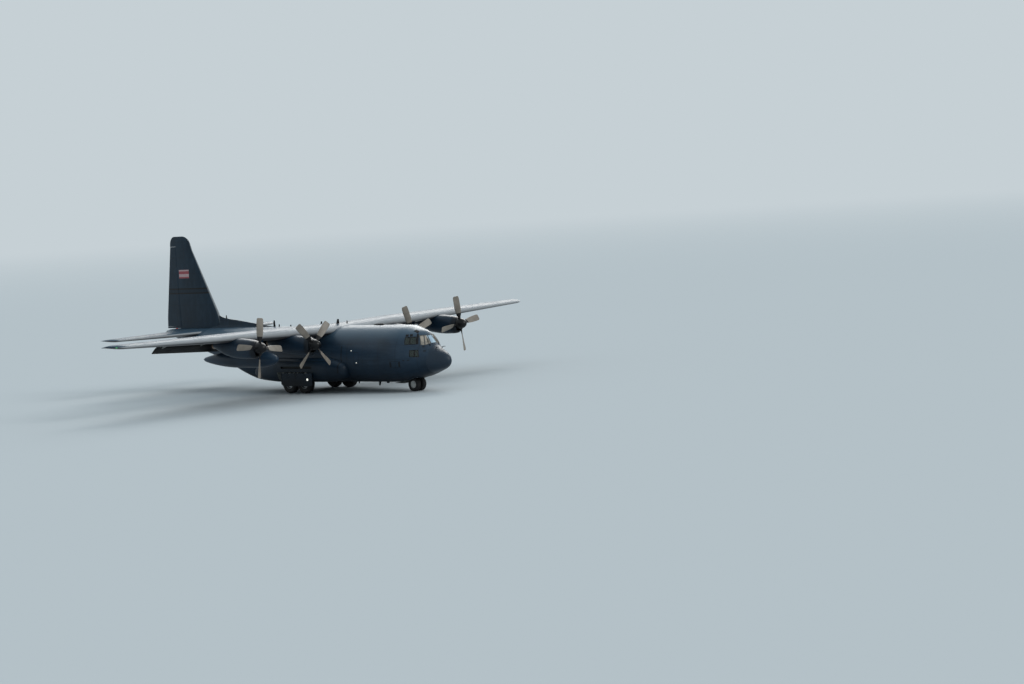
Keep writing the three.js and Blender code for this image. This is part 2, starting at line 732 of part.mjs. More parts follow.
const OPENING_OUTLINE = [
  [AFT_JOINT - 1, 300], [24580, 300], [24580, 3440], [24150, 3370], [22500, 2930], [20350, 2040],
  [AFT_JOINT - 1, 1110],
];
const OPENING_PLAN = [
  [17000, 1500], [20376, 1500], [24700, 1166], [24700, -1166], [20376, -1500], [17000, -1500],
];

const crossRod = ([s, z], y0, y1, radius) => rod([x(s), y0, z], [x(s), y1, z], radius);

function ramp() {
  const [s] = RAMP_HINGE;
  const half = LUG_HALF + RUN_GAP;
  const body = OUTER.intersect(slab(RAMP_OUTLINE, -RAMP_HALF, RAMP_HALF));
  const notchEnds = [s - NOTCH_FRONT, s + LUG_RADIUS + RUN_GAP];
  const notches = LUG_YS.map((y) => box(...notchEnds, y - half, y + half, 0, FAR));
  const reach = half + RAMP_PIN_SEAT;
  const rods = LUG_YS.map((y) => crossRod(RAMP_HINGE, y - reach, y + reach, RAMP_PIN));
  return body.subtract(joined(notches)).add(joined(rods));
}

function rampLug(y) {
  const [s, z] = RAMP_HINGE;
  const arm = box(AFT_JOINT - LUG_ROOT, s, y - LUG_HALF, y + LUG_HALF, z - LUG_RADIUS, z + LUG_RADIUS);
  const eye = crossRod(RAMP_HINGE, y - LUG_HALF, y + LUG_HALF, LUG_RADIUS);
  const bore = crossRod(RAMP_HINGE, y - LUG_HALF - RUN_GAP, y + LUG_HALF + RUN_GAP, RAMP_PIN + SEAT_GAP);
  return arm.add(eye).subtract(bore);
}

function cargoDoor() {
  const outline = slab(CARGO_OUTLINE, -RAMP_HALF, RAMP_HALF);
  const body = OUTER.intersect(outline).intersect(plate(CARGO_PLAN, 0, FAR));
  const pinsOut = [-1, 1].map((side) =>
    crossRod(CARGO_HINGE, side * CARGO_PIN_FROM, side * CARGO_PIN_TO, PIN_RADIUS));
  return body.add(joined(pinsOut));
}

function tailOpening() {
  const opening = slab(OPENING_OUTLINE, -FAR, FAR).intersect(plate(OPENING_PLAN, 0, FAR));
  const holes = [-1, 1].map((side) =>
    crossRod(CARGO_HINGE, side * CARGO_PIN_FROM, side * (CARGO_PIN_TO + PIN_END_GAP), PIN_RADIUS + SEAT_GAP));
  return joined([opening, ...holes]);
}

// Landing gear

const NOSE_S = 3330;
const NOSE_RADIUS = 495;
const NOSE_HALF_TRACK = 280;
const NOSE_WIDTH = 330;
const NOSE_AXLE = 55;
const MAIN_S = 13100;
const MAIN_OFFSET = 775;
const MAIN_RADIUS = 710;
const MAIN_Y = 2175;
const MAIN_WIDTH = 500;
const MAIN_AXLE = 75;

const NOSE_WELL = { s0: 2600, s1: 4050, half: 730, roof: 1750 };
const MAIN_WELL = { s0: MAIN_S - 1620, s1: MAIN_S + 1620, y: 1680, hullRoof: 1800, podRoof: 1550 };

const LEG_Y = 1790;
const LEG_RADIUS = 85;
const LEG_TOP = MAIN_WELL.hullRoof - SEAT_GAP;

// Half a tyre and rim section, as [part of the radius, part of the width] from the axle out
const WHEEL_FACE = [[0.5, 0.22], [0.56, 0.38], [0.78, 0.49], [0.95, 0.38], [1, 0.16]];
const WHEEL_SIDES = 22;
const WEB = 0.2;
const BORE_DEPTH = 0.12;

// A wheel with a blind bore for its axle, open on the side that faces the leg
function wheel(radius, width, bore, outer, centre = [0, 0, 0]) {
  const face = WHEEL_FACE.map(([r, w]) => [r * radius, w * width]);
  const inner = face.map(([r, w]) => [r, -w]).reverse();
  const [web, depth] = [WEB * width, BORE_DEPTH * width];
  const profile = [
    [0, web], ...face, ...inner, [bore + TURN_GAP, -web], [bore + TURN_GAP, depth], [0, depth],
  ];
  return turned(profile.map(([r, d]) => [r, outer * d]), 'y', centre, WHEEL_SIDES);
}

const LEG_FOOT_DROP = 130;
const AXLE_END_GAP = 4;
const LEG_BEAM = { half: 60, z0: 1480, z1: 1620 };

function mainLeg(side) {
  const y = side * LEG_Y;
  const posts = [-1, 1].flatMap((end) => {
    const s = MAIN_S + end * MAIN_OFFSET;
    const axleEnd = side * (MAIN_Y + BORE_DEPTH * MAIN_WIDTH - AXLE_END_GAP);
    return [
      rod([x(s), y, MAIN_RADIUS - LEG_FOOT_DROP], [x(s), y, LEG_TOP], LEG_RADIUS, 14),
      rod([x(s), y, MAIN_RADIUS], [x(s), axleEnd, MAIN_RADIUS], MAIN_AXLE, 16),
    ];
  });
  const { half, z0, z1 } = LEG_BEAM;
  const beam = box(MAIN_S - MAIN_OFFSET, MAIN_S + MAIN_OFFSET, y - half, y + half, z0, z1);
  return joined([...posts, beam]);
}

const NOSE_LEG_RADIUS = 125;
const LEG_FOOT = 1020;
const PISTON_RADIUS = 80;
const PISTON_TOP = 1400;
const PISTON_END_GAP = 10;
const BRACE_RADIUS = 50;
const BRACE_FOOT_Z = 1120;
const BRACE_TOP = [3900, 1690];
const BRACE_PAD = { half: 80, length: 200, z0: 1600 };
const HUB_RADIUS = 90;
const HUB_HALF = 95;
const TOW_LUG = [170, 90, 70];
const TOW_REACH = 200;
const TOW_Z = 105;
const AXLE_OVERHANG = 50;
const AXLE_BITE = 10;

function noseLeg() {
  const roof = NOSE_WELL.roof - SEAT_GAP;
  const [topS, topZ] = BRACE_TOP;
  const { half, length, z0 } = BRACE_PAD;
  const post = rod([x(NOSE_S), 0, LEG_FOOT], [x(NOSE_S), 0, roof], NOSE_LEG_RADIUS, 18);
  const brace = rod([x(NOSE_S), 0, BRACE_FOOT_Z], [x(topS), 0, topZ], BRACE_RADIUS);
  const foot = box(topS - length / 2, topS + length / 2, -half, half, z0, roof);
  const bore = rod([x(NOSE_S), 0, 0], [x(NOSE_S), 0, PISTON_TOP], PISTON_RADIUS + TURN_GAP, SHAFT_SIDES);
  return joined([post, brace, foot]).subtract(bore);
}

function noseFork() {
  const height = PISTON_TOP - PISTON_END_GAP - NOSE_RADIUS;
  const piston = rod([0, 0, 0], [0, 0, height], PISTON_RADIUS, SHAFT_SIDES);
  const hub = rod([0, -HUB_HALF, 0], [0, HUB_HALF, 0], HUB_RADIUS, SHAFT_SIDES);
  const bore = rod([0, -2 * HUB_HALF, 0], [0, 2 * HUB_HALF, 0], NOSE_AXLE + TURN_GAP, SHAFT_SIDES);
  const tow = new THREE.BoxGeometry(...TOW_LUG);
  tow.translate(TOW_REACH - TOW_LUG[0] / 2, 0, TOW_Z);
  return joined([piston, hub, solidFrom(tow)]).subtract(bore);
}

function noseWheels() {
  const halves = [-1, 1].map((side) =>
    wheel(NOSE_RADIUS, NOSE_WIDTH, NOSE_AXLE - AXLE_BITE, side, [0, side * NOSE_HALF_TRACK, 0]));
  const reach = NOSE_HALF_TRACK + AXLE_OVERHANG;
  const axle = rod([0, -reach, 0], [0, reach, 0], NOSE_AXLE, SHAFT_SIDES);
  return joined([...halves, axle]);
}

// Landing gear pods on the fuselage sides

const POD = rows(['s', 'outer', 'top', 'bottom'], [
  [8080, 2200, 1850, 1350],
  [8180, 2400, 2080, 1130],
  [8450, 2560, 2260, 980],
  [8860, 2620, 2380, 900],
  [9860, 2720, 2600, 780],
  [14900, 2720, 2600, 760],
  [16200, 2620, 2450, 830],
  [17100, 2400, 2150, 980],
  [17600, 2230, 1850, 1200],
]);
const POD_INNER = 1300;
const POD_POWER = 0.62;
const POD_STEPS = 9;

function pod(side) {
  const loops = POD.map((row) => {
    const [middle, reach] = [(row.top + row.bottom) / 2, (row.top - row.bottom) / 2];
    const arc = Array.from({ length: POD_STEPS + 1 }, (_, i) => {
      const angle = Math.PI * (0.5 - i / POD_STEPS);
      const [c, d] = [Math.cos(angle), Math.sin(angle)];
      const y = POD_INNER + (row.outer - POD_INNER) * Math.max(0, c) ** POD_POWER;
      return [x(row.s), side * y, middle + reach * Math.sign(d) * Math.abs(d) ** POD_POWER];
    });
    return arc;
  });
  const { s0, s1, y, podRoof } = MAIN_WELL;
  const [y0, y1] = side > 0 ? [y, FAR] : [-FAR, -y];
  const body = loft(loops, [1, 2]).subtract(hull(SEAT_GAP)).subtract(box(s0, s1, y0, y1, 0, podRoof));
  return body.decompose().sort((a, b) => b.volume() - a.volume())[0];
}

// Main gear doors, hanging open outside the wheels
const GEAR_DOOR = { s0: 10950, s1: 14150, y0: 2870, y1: 2910, z0: 570, z1: 1500 };
const DOOR_ARM_STATIONS = [11700, 12550, 13400, 14050];
const DOOR_ARM_HALF = 30;
const DOOR_ARM = [[2560, 0], [2690, 0], [2910, -70], [2910, -330], [2871, -330], [2800, -110], [2560, -60]];

function gearDoor(side) {
  const { s0, s1, y0, y1, z0, z1 } = GEAR_DOOR;
  const panel = box(s0, s1, ...[side * y0, side * y1].sort((a, b) => a - b), z0, z1);
  const arms = DOOR_ARM_STATIONS.map((s) => {
    const outline = DOOR_ARM.map(([y, z]) => [side * y, MAIN_WELL.podRoof - SEAT_GAP + z]);
    const ends = [s - DOOR_ARM_HALF, s + DOOR_ARM_HALF];
    return loft(ends.map((at) => outline.map(([y, z]) => [x(at), y, z])), [1, 2]);
  });
  return joined([panel, ...arms]);
}

// Nose gear door, hanging under the aft end of its well
const NOSE_DOOR = { s0: 4080, s1: 5000, half: 500, z0: 590, z1: 620 };
const HANGER = { s0: 4200, s1: 4300, y: 300, half: 40, z0: 615, z1: 1000 };

function noseDoor() {
  const panel = box(NOSE_DOOR.s0, NOSE_DOOR.s1, -NOSE_DOOR.half, NOSE_DOOR.half, NOSE_DOOR.z0, NOSE_DOOR.z1);
  const hangers = [-HANGER.y, HANGER.y].map((y) =>
    box(HANGER.s0, HANGER.s1, y - HANGER.half, y + HANGER.half, HANGER.z0, HANGER.z1));
  return lowest(joined([panel, ...hangers]).subtract(hull(SEAT_GAP)));
}

// Cabin

const DECK_TOP = 2300;
const DECK = { s0: 2060, s1: 4140, half: 1100, z0: 2250 };
const PANEL_HALF = 880;
const SEAT_Y = 620;
const SEAT_HALF = 240;
const HOLD_FLOOR = { s0: 5000, s1: 17330, half: 1470, z0: 970, z1: 1040 };
const PANEL_OUTLINE = [
  [1960, DECK_TOP - 10], [2240, DECK_TOP - 10], [2240, 2700], [2170, 3150], [2020, 3180], [1960, 2950],
];
const SEAT_FOOT = DECK_TOP + SEAT_GAP;
const SEAT_OUTLINE = [
  [2780, SEAT_FOOT], [3260, SEAT_FOOT], [3340, 3520], [3210, 3540], [3120, 2780], [2780, 2740],
];

function flightDeck() {
  const floor = box(DECK.s0, DECK.s1, -DECK.half, DECK.half, DECK.z0 + SEAT_GAP, DECK_TOP);
  return floor.add(slab(PANEL_OUTLINE, -PANEL_HALF, PANEL_HALF));
}

const seat = (side) => slab(SEAT_OUTLINE, side * SEAT_Y - SEAT_HALF, side * SEAT_Y + SEAT_HALF);

function cargoFloor() {
  const { s0, s1, half, z0, z1 } = HOLD_FLOOR;
  return box(s0, s1, -half, half, z0 + SEAT_GAP, z1);
}

// Fuselage pieces, cut from the whole shell

function fuselage() {
  const windows = WINDOWS.map((row) => windowBox(row));
  const { s0, s1, half, roof } = NOSE_WELL;
  const noseWell = box(s0, s1, -half, half, 0, roof);
  const mainWells = [1, -1].map((side) => {
    const [y0, y1] = side > 0 ? [MAIN_WELL.y, FAR] : [-FAR, -MAIN_WELL.y];
    return box(MAIN_WELL.s0, MAIN_WELL.s1, y0, y1, 0, MAIN_WELL.hullRoof);
  });
  const saddle = box(SADDLE_START, SADDLE_END, -FAR, FAR, SADDLE_Z, FAR);
  const tailSaddle = box(TAIL_SADDLE_START, TAIL_SADDLE_END, -FAR, FAR, TAIL_SADDLE_Z, FAR);
  const stabilisers = [1, -1].map((side) => surface(STABILISER, across(side), ACROSS_PLANE, SEAT_GAP));
  const troopDoors = [1, -1].map((side) => doorBox(TROOP_DOOR, side, DOORWAY_INNER_Y, SEAT_GAP));
  const lugs = LUG_YS.map(rampLug);
  const forwardCuts = [...windows, noseWell, crewDoorCut()];
  const aftCuts = [tailOpening(), tailSaddle, ...stabilisers, ...troopDoors];
  const [frontPads, rearPads] = JACK_PADS.map(jackPads);
  const pieces = rows(['name', 'from', 'to', 'cuts', 'additions'], [
    ['nose_radome', -FAR, RADOME_JOINT, [], []],
    ['forward_fuselage', RADOME_JOINT, FORWARD_JOINT, forwardCuts, frontPads],
    ['centre_fuselage', FORWARD_JOINT, AFT_JOINT, [...mainWells, saddle], [...lugs, ...rearPads]],
    ['aft_fuselage', AFT_JOINT, FAR, aftCuts, []],
  ]);
  return pieces.map(({ name, from, to, cuts, additions }) => {
    const part = SHELL.intersect(between(from, to - SEAT_GAP));
    const cut = cuts.length ? part.subtract(joined(cuts)) : part;
    return [name, additions.length ? cut.add(joined(additions)) : cut];
  });
}

// The model

const aircraft = new THREE.Group();

function addMesh(group, name, solid, look, at = [0, 0, 0]) {
  const { vertProperties, triVerts } = solid.getMesh();
  const geometry = new THREE.BufferGeometry();
  geometry.setAttribute('position', new THREE.BufferAttribute(new Float32Array(vertProperties), 3));
  geometry.setIndex(new THREE.BufferAttribute(new Uint32Array(triVerts), 1));
  geometry.translate(...at.map((c) => -c));
  geometry.computeVertexNormals();
  const mesh = new THREE.Mesh(geometry, new THREE.MeshStandardMaterial(look));
  mesh.name = name;
  mesh.position.set(...at);
  group.add(mesh);
  return mesh;
}

for (const [name, solid] of fuselage()) {
  addMesh(aircraft, name, solid, name === 'nose_radome' ? DARK_GREY : GREY);
}

for (const row of WINDOWS) {
  addMesh(aircraft, row.name, skinOf(GLASS_DEPTH).intersect(windowBox(row, -SEAT_GAP)), GLASS);
}

addMesh(aircraft, 'flight_deck', flightDeck(), DARK_GREY);
addMesh(aircraft, 'cargo_floor', cargoFloor(), STEEL);
addMesh(aircraft, 'crew_door', crewDoor(), GREY);
addMesh(aircraft, 'ramp', ramp(), GREY);
addMesh(aircraft, 'cargo_door', cargoDoor(), GREY);
addMesh(aircraft, 'wing_centre', centreWing(), GREY);
addMesh(aircraft, 'tailplane', tailplane(), GREY);
addMesh(aircraft, 'fin', fin(), GREY);
addMesh(aircraft, 'rudder', control(FIN, upright, UPRIGHT_PLANE, RUDDER_ENDS, RUDDER_HINGE), GREY);

const SIDES = rows(['name', 'side'], [
  ['left', 1],
  ['right', -1],
]);

for (const { name, side } of SIDES) {
  const place = across(side);
  addMesh(aircraft, `pilot_seat_${name}`, seat(side), CLOTH);
  addMesh(aircraft, `troop_door_${name}`, troopDoor(side), GREY);
  addMesh(aircraft, `wing_outer_${name}`, outerWing(side), GREY);
  const inboardFlap = flap(FLAP_ROOT, WING_JOINT - RUN_GAP, side, INBOARD_ARMS);
  const outboardFlap = flap(WING_JOINT + RUN_GAP, FLAP_END, side, OUTBOARD_ARMS);
  addMesh(aircraft, `flap_inboard_${name}`, inboardFlap, GREY);
  addMesh(aircraft, `flap_outboard_${name}`, outboardFlap, GREY);
  addMesh(aircraft, `aileron_${name}`, control(WING, place, ACROSS_PLANE, AILERON_ENDS, AILERON_HINGE), GREY);
  addMesh(aircraft, `elevator_${name}`,
    control(STABILISER, place, ACROSS_PLANE, ELEVATOR_ENDS, ELEVATOR_HINGE), GREY);
  addMesh(aircraft, `tank_${name}`, tank(side), GREY);
  addMesh(aircraft, `gear_pod_${name}`, pod(side), GREY);
  addMesh(aircraft, `main_gear_door_${name}`, gearDoor(side), GREY);
  addMesh(aircraft, `main_gear_leg_${name}`, mainLeg(side), WHITE);
  for (const [end, offset] of [['front', -MAIN_OFFSET], ['rear', MAIN_OFFSET]]) {
    const hub = new THREE.Group();
    hub.position.set(x(MAIN_S + offset), side * MAIN_Y, MAIN_RADIUS);
    addMesh(hub, `main_wheel_${end}_${name}`, wheel(MAIN_RADIUS, MAIN_WIDTH, MAIN_AXLE, side), TYRE);
    aircraft.add(hub);
  }
}

for (const engine of ENGINES) {
  const hub = [x(PROP_S), engine.y, engine.z];
  addMesh(aircraft, `nacelle_${engine.number}`, nacelle(engine), GREY, hub);
  const disc = new THREE.Group();
  disc.position.set(...hub);
  addMesh(disc, `propeller_${engine.number}`, propeller(engine), BLADE_LOOK);
  aircraft.add(disc);
}

const noseGear = new THREE.Group();
noseGear.position.set(x(NOSE_S), 0, NOSE_RADIUS);
addMesh(noseGear, 'nose_gear_fork', noseFork(), WHITE);
addMesh(noseGear, 'nose_wheels', noseWheels(), TYRE);
aircraft.add(noseGear);
addMesh(aircraft, 'nose_gear_leg', noseLeg(), WHITE);
addMesh(aircraft, 'nose_gear_door', noseDoor(), GREY);

aircraft.name = 'military transport plane';
aircraft.scale.setScalar(MODEL_SCALE);

export default aircraft;
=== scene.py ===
# The looks of a military transport plane, parked on its wheels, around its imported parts.
# Sizes are the real aircraft's in metres: s is a station aft of the nose tip, y to port, z above the ground.
# The aircraft is built as a 1:2 model, so place() halves every point on its way into the frame.

import math

import bmesh
import bpy
import numpy as np
from mathutils import Matrix, Vector


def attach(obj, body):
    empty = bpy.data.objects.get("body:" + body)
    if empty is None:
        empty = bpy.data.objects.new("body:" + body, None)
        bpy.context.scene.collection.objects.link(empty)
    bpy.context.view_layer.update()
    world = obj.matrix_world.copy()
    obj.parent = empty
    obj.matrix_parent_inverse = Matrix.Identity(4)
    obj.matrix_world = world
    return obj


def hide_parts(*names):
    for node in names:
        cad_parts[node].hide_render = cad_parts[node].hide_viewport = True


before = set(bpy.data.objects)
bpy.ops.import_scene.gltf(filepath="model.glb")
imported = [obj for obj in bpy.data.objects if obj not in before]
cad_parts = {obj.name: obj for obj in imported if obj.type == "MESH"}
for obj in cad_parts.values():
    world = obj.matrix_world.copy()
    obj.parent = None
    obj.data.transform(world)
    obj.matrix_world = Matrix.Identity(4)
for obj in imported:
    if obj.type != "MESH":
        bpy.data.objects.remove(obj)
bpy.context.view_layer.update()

MODEL_SCALE = 0.5
LENGTH = 29.79
SPAN = 40.41
AIRFRAME = "airframe"
BOTH = (1, -1)
SIDES = [("left", 1), ("right", -1)]
ORIGIN = (0, 0, 0)
TURN = 2 * math.pi

scene = bpy.context.scene


# Shapes

def place(points):
    s, y, z = np.asarray(points, float).reshape(-1, 3).T
    return np.stack([LENGTH / 2 - s, y, z], 1) * MODEL_SCALE


def unplace(points):
    x, y, z = (np.asarray(points, float).reshape(-1, 3) / MODEL_SCALE).T
    return np.stack([LENGTH / 2 - x, y, z], 1)


class Shape:
    """Points at (s, y, z), the faces over them, and for each face the number of its material."""

    def __init__(self, points, faces, look=0):
        self.points = np.asarray(points, float).reshape(-1, 3)
        self.faces = [tuple(int(i) for i in face) for face in faces]
        self.looks = [look] * len(self.faces) if isinstance(look, int) else [int(one) for one in look]

    def looked(self, look):
        return Shape(self.points, self.faces, look)

    def at(self, points):
        return Shape(points, self.faces, self.looks)

    def moved(self, s, y, z):
        return self.at(self.points + [s, y, z])

    def mirrored(self, side):
        return self.at(self.points * [1, side, 1])

    def rolled(self, angle):
        """Turned about the line along the aircraft through the origin."""
        s, y, z = self.points.T
        c, d = math.cos(angle), math.sin(angle)
        return self.at(np.stack([s, y * c - z * d, y * d + z * c], 1))

    def pitched(self, angle):
        """Turned about the line across the aircraft through the origin, front end up."""
        s, y, z = self.points.T
        c, d = math.cos(angle), math.sin(angle)
        return self.at(np.stack([s * c + z * d, y, z * c - s * d], 1))

    def centres(self):
        """The stations, distances to port and heights of the faces' middles."""
        return np.array([self.points[list(face)].mean(0) for face in self.faces]).T


def joined(*shapes):
    parts = [part for shape in shapes for part in (shape if isinstance(shape, list) else [shape])]
    starts = np.cumsum([0] + [len(part.points) for part in parts])
    faces = [tuple(i + start for i in face) for part, start in zip(parts, starts) for face in part.faces]
    looks = [look for part in parts for look in part.looks]
    return Shape(np.concatenate([part.points for part in parts]), faces, looks)


def loft(rings, look=0, caps=True):
    """A skin through like rings of points, with flat ends."""
    rings = np.asarray(rings, float)
    many, count = rings.shape[:2]
    faces = [
        (k * count + i, k * count + (i + 1) % count, (k + 1) * count + (i + 1) % count, (k + 1) * count + i)
        for k in range(many - 1) for i in range(count)
    ]
    if caps:
        faces.append(tuple(range(count)))
        faces.append(tuple((many - 1) * count + i for i in reversed(range(count))))
    return Shape(rings, faces, look)


def prism(outline, axis, a, b, look=0):
    """An outline drawn across (y: [s, z] points), upright (z: [s, y]) or along (s: [y, z]) from a to b."""
    order = {"s": (2, 0, 1), "y": (0, 2, 1), "z": (0, 1, 2)}[axis]
    return loft([[[(*point, t)[k] for k in order] for point in outline] for t in (a, b)], look)


def block(s0, s1, y0, y1, z0, z1, look=0):
    return prism([(s0, z0), (s1, z0), (s1, z1), (s0, z1)], "y", y0, y1, look)


def bar(s0, s1, y, half, z0, z1, look=0):
    """A block as wide as half on each side of y."""
    return block(s0, s1, y - half, y + half, z0, z1, look)


def circle(count):
    """Cosines and sines at even steps round a circle."""
    angles = np.arange(count) * TURN / count
    return np.cos(angles), np.sin(angles)


def signed_power(values, power):
    return np.sign(values) * abs(values) ** power


def rounded(half_a, half_b, power, count):
    """A ring round the origin, squared off where the power is over 2."""
    c, d = circle(count)
    return np.stack([half_a * signed_power(c, 2 / power), half_b * signed_power(d, 2 / power)], 1)


def lathe(profile, axis, centre=ORIGIN, sides=32, look=0):
    """A turned shape from [radius, distance] points. Distance runs aft, to port or up along the axis."""
    c, d = circle(sides)
    rings = []
    for radius, distance in profile:
        a, b, flat = radius * c, radius * d, np.full(sides, float(distance))
        rings.append(np.stack({"s": [flat, a, b], "y": [a, flat, b], "z": [a, b, flat]}[axis], 1))
    return loft(rings, look, caps=False).moved(*centre)


def rod(radius, a, b, axis, centre, sides, look=0):
    return lathe([(0, a), (radius, a), (radius, b), (0, b)], axis, centre, sides, look)


def tube(path, radius, sides=10, look=0):
    """A round bar along a path. The radius may be one number or one for each point."""
    path = np.asarray(path, float)
    c, d = circle(sides)
    rings, across = [], None
    for i, (point, thick) in enumerate(zip(path, np.broadcast_to(radius, len(path)))):
        ahead = path[min(i + 1, len(path) - 1)] - path[max(i - 1, 0)]
        ahead /= np.linalg.norm(ahead)
        if across is None:
            across = np.cross(ahead, [0, 0, 1] if abs(ahead[2]) < 0.9 else [1, 0, 0])
        across = across - ahead * (across @ ahead)
        across /= np.linalg.norm(across)
        rings.append(point + thick * (np.outer(c, across) + np.outer(d, np.cross(ahead, across))))
    return loft(rings, look)


def bezier(points, count):
    """Points along the curve that the control points pull."""
    points = np.asarray(points, float)
    order = len(points) - 1
    t = np.linspace(0, 1, count)[:, None]
    return sum(
        math.comb(order, k) * t ** k * (1 - t) ** (order - k) * point for k, point in enumerate(points))


# Meshes and pieces

MERGE = 2e-5
BEVEL_ANGLE = math.radians(40)


def placed(name, data):
    made = bpy.data.objects.new(name, data)
    scene.collection.objects.link(made)
    return made


def object_of(name, shape):
    mesh = bpy.data.meshes.new(name)
    mesh.from_pydata(place(shape.points).tolist(), [], shape.faces)
    mesh.polygons.foreach_set("material_index", shape.looks)
    bm = bmesh.new()
    bm.from_mesh(mesh)
    bmesh.ops.remove_doubles(bm, verts=bm.verts, dist=MERGE)
    bmesh.ops.dissolve_degenerate(bm, dist=MERGE, edges=bm.edges)
    bmesh.ops.recalc_face_normals(bm, faces=bm.faces)
    bm.to_mesh(mesh)
    bm.free()
    return placed(name, mesh)


def carve(shape, *tools, keep=False):
    """The shape less the tools or, with keep, the part of it that lies in every tool."""
    base = object_of("blank", shape)
    cutters = [object_of("tool", tool) for tool in tools]
    for cutter in cutters:
        cut = base.modifiers.new("cut", "BOOLEAN")
        cut.solver = "MANIFOLD"
        cut.operation = "INTERSECT" if keep else "DIFFERENCE"
        cut.object = cutter
    bpy.context.view_layer.update()
    mesh = bpy.data.meshes.new_from_object(base.evaluated_get(bpy.context.evaluated_depsgraph_get()))
    points = np.empty(3 * len(mesh.vertices))
    mesh.vertices.foreach_get("co", points)
    faces = [tuple(face.vertices) for face in mesh.polygons]
    looks = [face.material_index for face in mesh.polygons]
    for spent in [base, *cutters]:
        bpy.data.objects.remove(spent)
    if not faces:
        raise ValueError("a cut left nothing")
    return Shape(unplace(points), faces, looks)


def piece(name, shape, finishes, body=AIRFRAME, replaces=None, angle=32, bevel=0):
    """One named piece that rides on a body, with its finishes in the order of its look numbers."""
    made = object_of(name, shape)
    for finish in finishes if isinstance(finishes, list) else [finishes]:
        made.data.materials.append(finish)
    made.data.shade_smooth()
    made.data.set_sharp_from_angle(angle=math.radians(angle))
    if bevel:
        edge = made.modifiers.new("edge", "BEVEL")
        edge.width = bevel * MODEL_SCALE
        edge.segments = 2
        edge.limit_method = "ANGLE"
        edge.angle_limit = BEVEL_ANGLE
    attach(made, body)
    if replaces:
        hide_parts(replaces)
    return made


# Tables and the curves through them

def table(columns, *rows):
    return dict(zip(columns.split(), np.array(rows, float).T))


def curve_through(keys, values, at):
    """A smooth curve through the values that never overshoots them."""
    h = np.diff(keys)
    d = np.diff(values) / h
    slope = np.concatenate([[d[0]], np.zeros(len(d) - 1), [d[-1]]])
    for i in range(1, len(d)):
        if d[i - 1] * d[i] > 0:
            w0, w1 = 2 * h[i] + h[i - 1], h[i] + 2 * h[i - 1]
            slope[i] = (w0 + w1) / (w0 / d[i - 1] + w1 / d[i])
    k = np.clip(np.searchsorted(keys, at, side="right") - 1, 0, len(h) - 1)
    t = (at - keys[k]) / h[k]
    a, b = values[k], values[k + 1]
    return (
        (1 + 2 * t) * (1 - t) ** 2 * a + t * (1 - t) ** 2 * h[k] * slope[k]
        + t * t * (3 - 2 * t) * b + t * t * (t - 1) * h[k] * slope[k + 1]
    )


def smooth(rows, key, at, power=1.0):
    """Values of a table at places along its key column. A power under 1 rounds off the first rows."""
    at = np.atleast_1d(np.asarray(at, float))
    keys, places = rows[key] ** power, np.maximum(at, 0) ** power
    found = {name: curve_through(keys, column, places) for name, column in rows.items()}
    found[key] = at
    return found


def straight(rows, key, at):
    at = np.atleast_1d(np.asarray(at, float))
    return {name: np.interp(at, rows[key], column) for name, column in rows.items()}


def each(values):
    """The rows of a table, one dictionary each."""
    return [dict(zip(values, row)) for row in zip(*values.values())]


def steps(a, b, size):
    return np.linspace(a, b, max(2, int(math.ceil(abs(b - a) / size)) + 1))


def between(values, low, high, slack):
    return (low - slack < values) & (values < high + slack)


# Colours and node graphs

def srgb(red, green, blue):
    """A linear colour from 0 to 255 display values."""
    parts = [c / 255 for c in (red, green, blue)]
    return tuple(c / 12.92 if c <= 0.04045 else ((c + 0.055) / 1.055) ** 2.4 for c in parts) + (1.0,)


def darker(colour, share=0.6):
    return tuple(part * share for part in colour[:3]) + (1.0,)


def put(socket, value):
    """A link from a Value, or else the plain value itself."""
    if isinstance(value, Value):
        socket.id_data.links.new(value.socket, socket)
    else:
        socket.default_value = value


def add_node(tree, kind, **inputs):
    made = tree.nodes.new(kind)
    for name, value in inputs.items():
        put(made.inputs[name.replace("_", " ")], value)
    return made


def calculate(operation, *values):
    """A Math node over the values, at least one of which is a Value."""
    tree = next(value.socket.id_data for value in values if isinstance(value, Value))
    made = tree.nodes.new("ShaderNodeMath")
    made.operation = operation
    for socket, value in zip(made.inputs, values):
        put(socket, value)
    return Value(made.outputs[0])


def most(*values):
    """The largest of the values."""
    whole = values[0]
    for value in values[1:]:
        whole = calculate("MAXIMUM", whole, value)
    return whole


class Value:
    """What a node gives. A sum or product with it adds a Math node."""

    def __init__(self, socket):
        self.socket = socket

    def __add__(self, other):
        return calculate("ADD", self, other)

    def __sub__(self, other):
        return calculate("SUBTRACT", self, other)

    def __rsub__(self, other):
        return calculate("SUBTRACT", other, self)

    def __mul__(self, other):
        return calculate("MULTIPLY", self, other)

    def __truediv__(self, other):
        return calculate("DIVIDE", self, other)

    def __abs__(self):
        return calculate("ABSOLUTE", self)

    __radd__ = __add__

    def ramp(self, low, high, bottom=0.0, top=1.0):
        """A smooth step from bottom to top as the value goes from low to high."""
        made = add_node(self.socket.id_data, "ShaderNodeMapRange", Value=self, From_Min=low, From_Max=high,
                        To_Min=bottom, To_Max=top)
        made.interpolation_type = "SMOOTHSTEP"
        return Value(made.outputs["Result"])

    def within(self, low, high, soft=0.004):
        """One between low and high, nought outside."""
        return self.ramp(low - soft, low + soft) * self.ramp(high + soft, high - soft)

    def near(self, centre, half):
        return self.within(centre - half, centre + half)

    def lines(self, spacing, half, offset=0.0):
        """Thin lines wherever the value is a multiple of the spacing past the offset."""
        return calculate("PINGPONG", self - offset, spacing / 2).ramp(half, half * 0.3)

    def joints(self, places, width):
        """A thin line just above each of the places."""
        return most(*[self.within(at, at + width) for at in places])


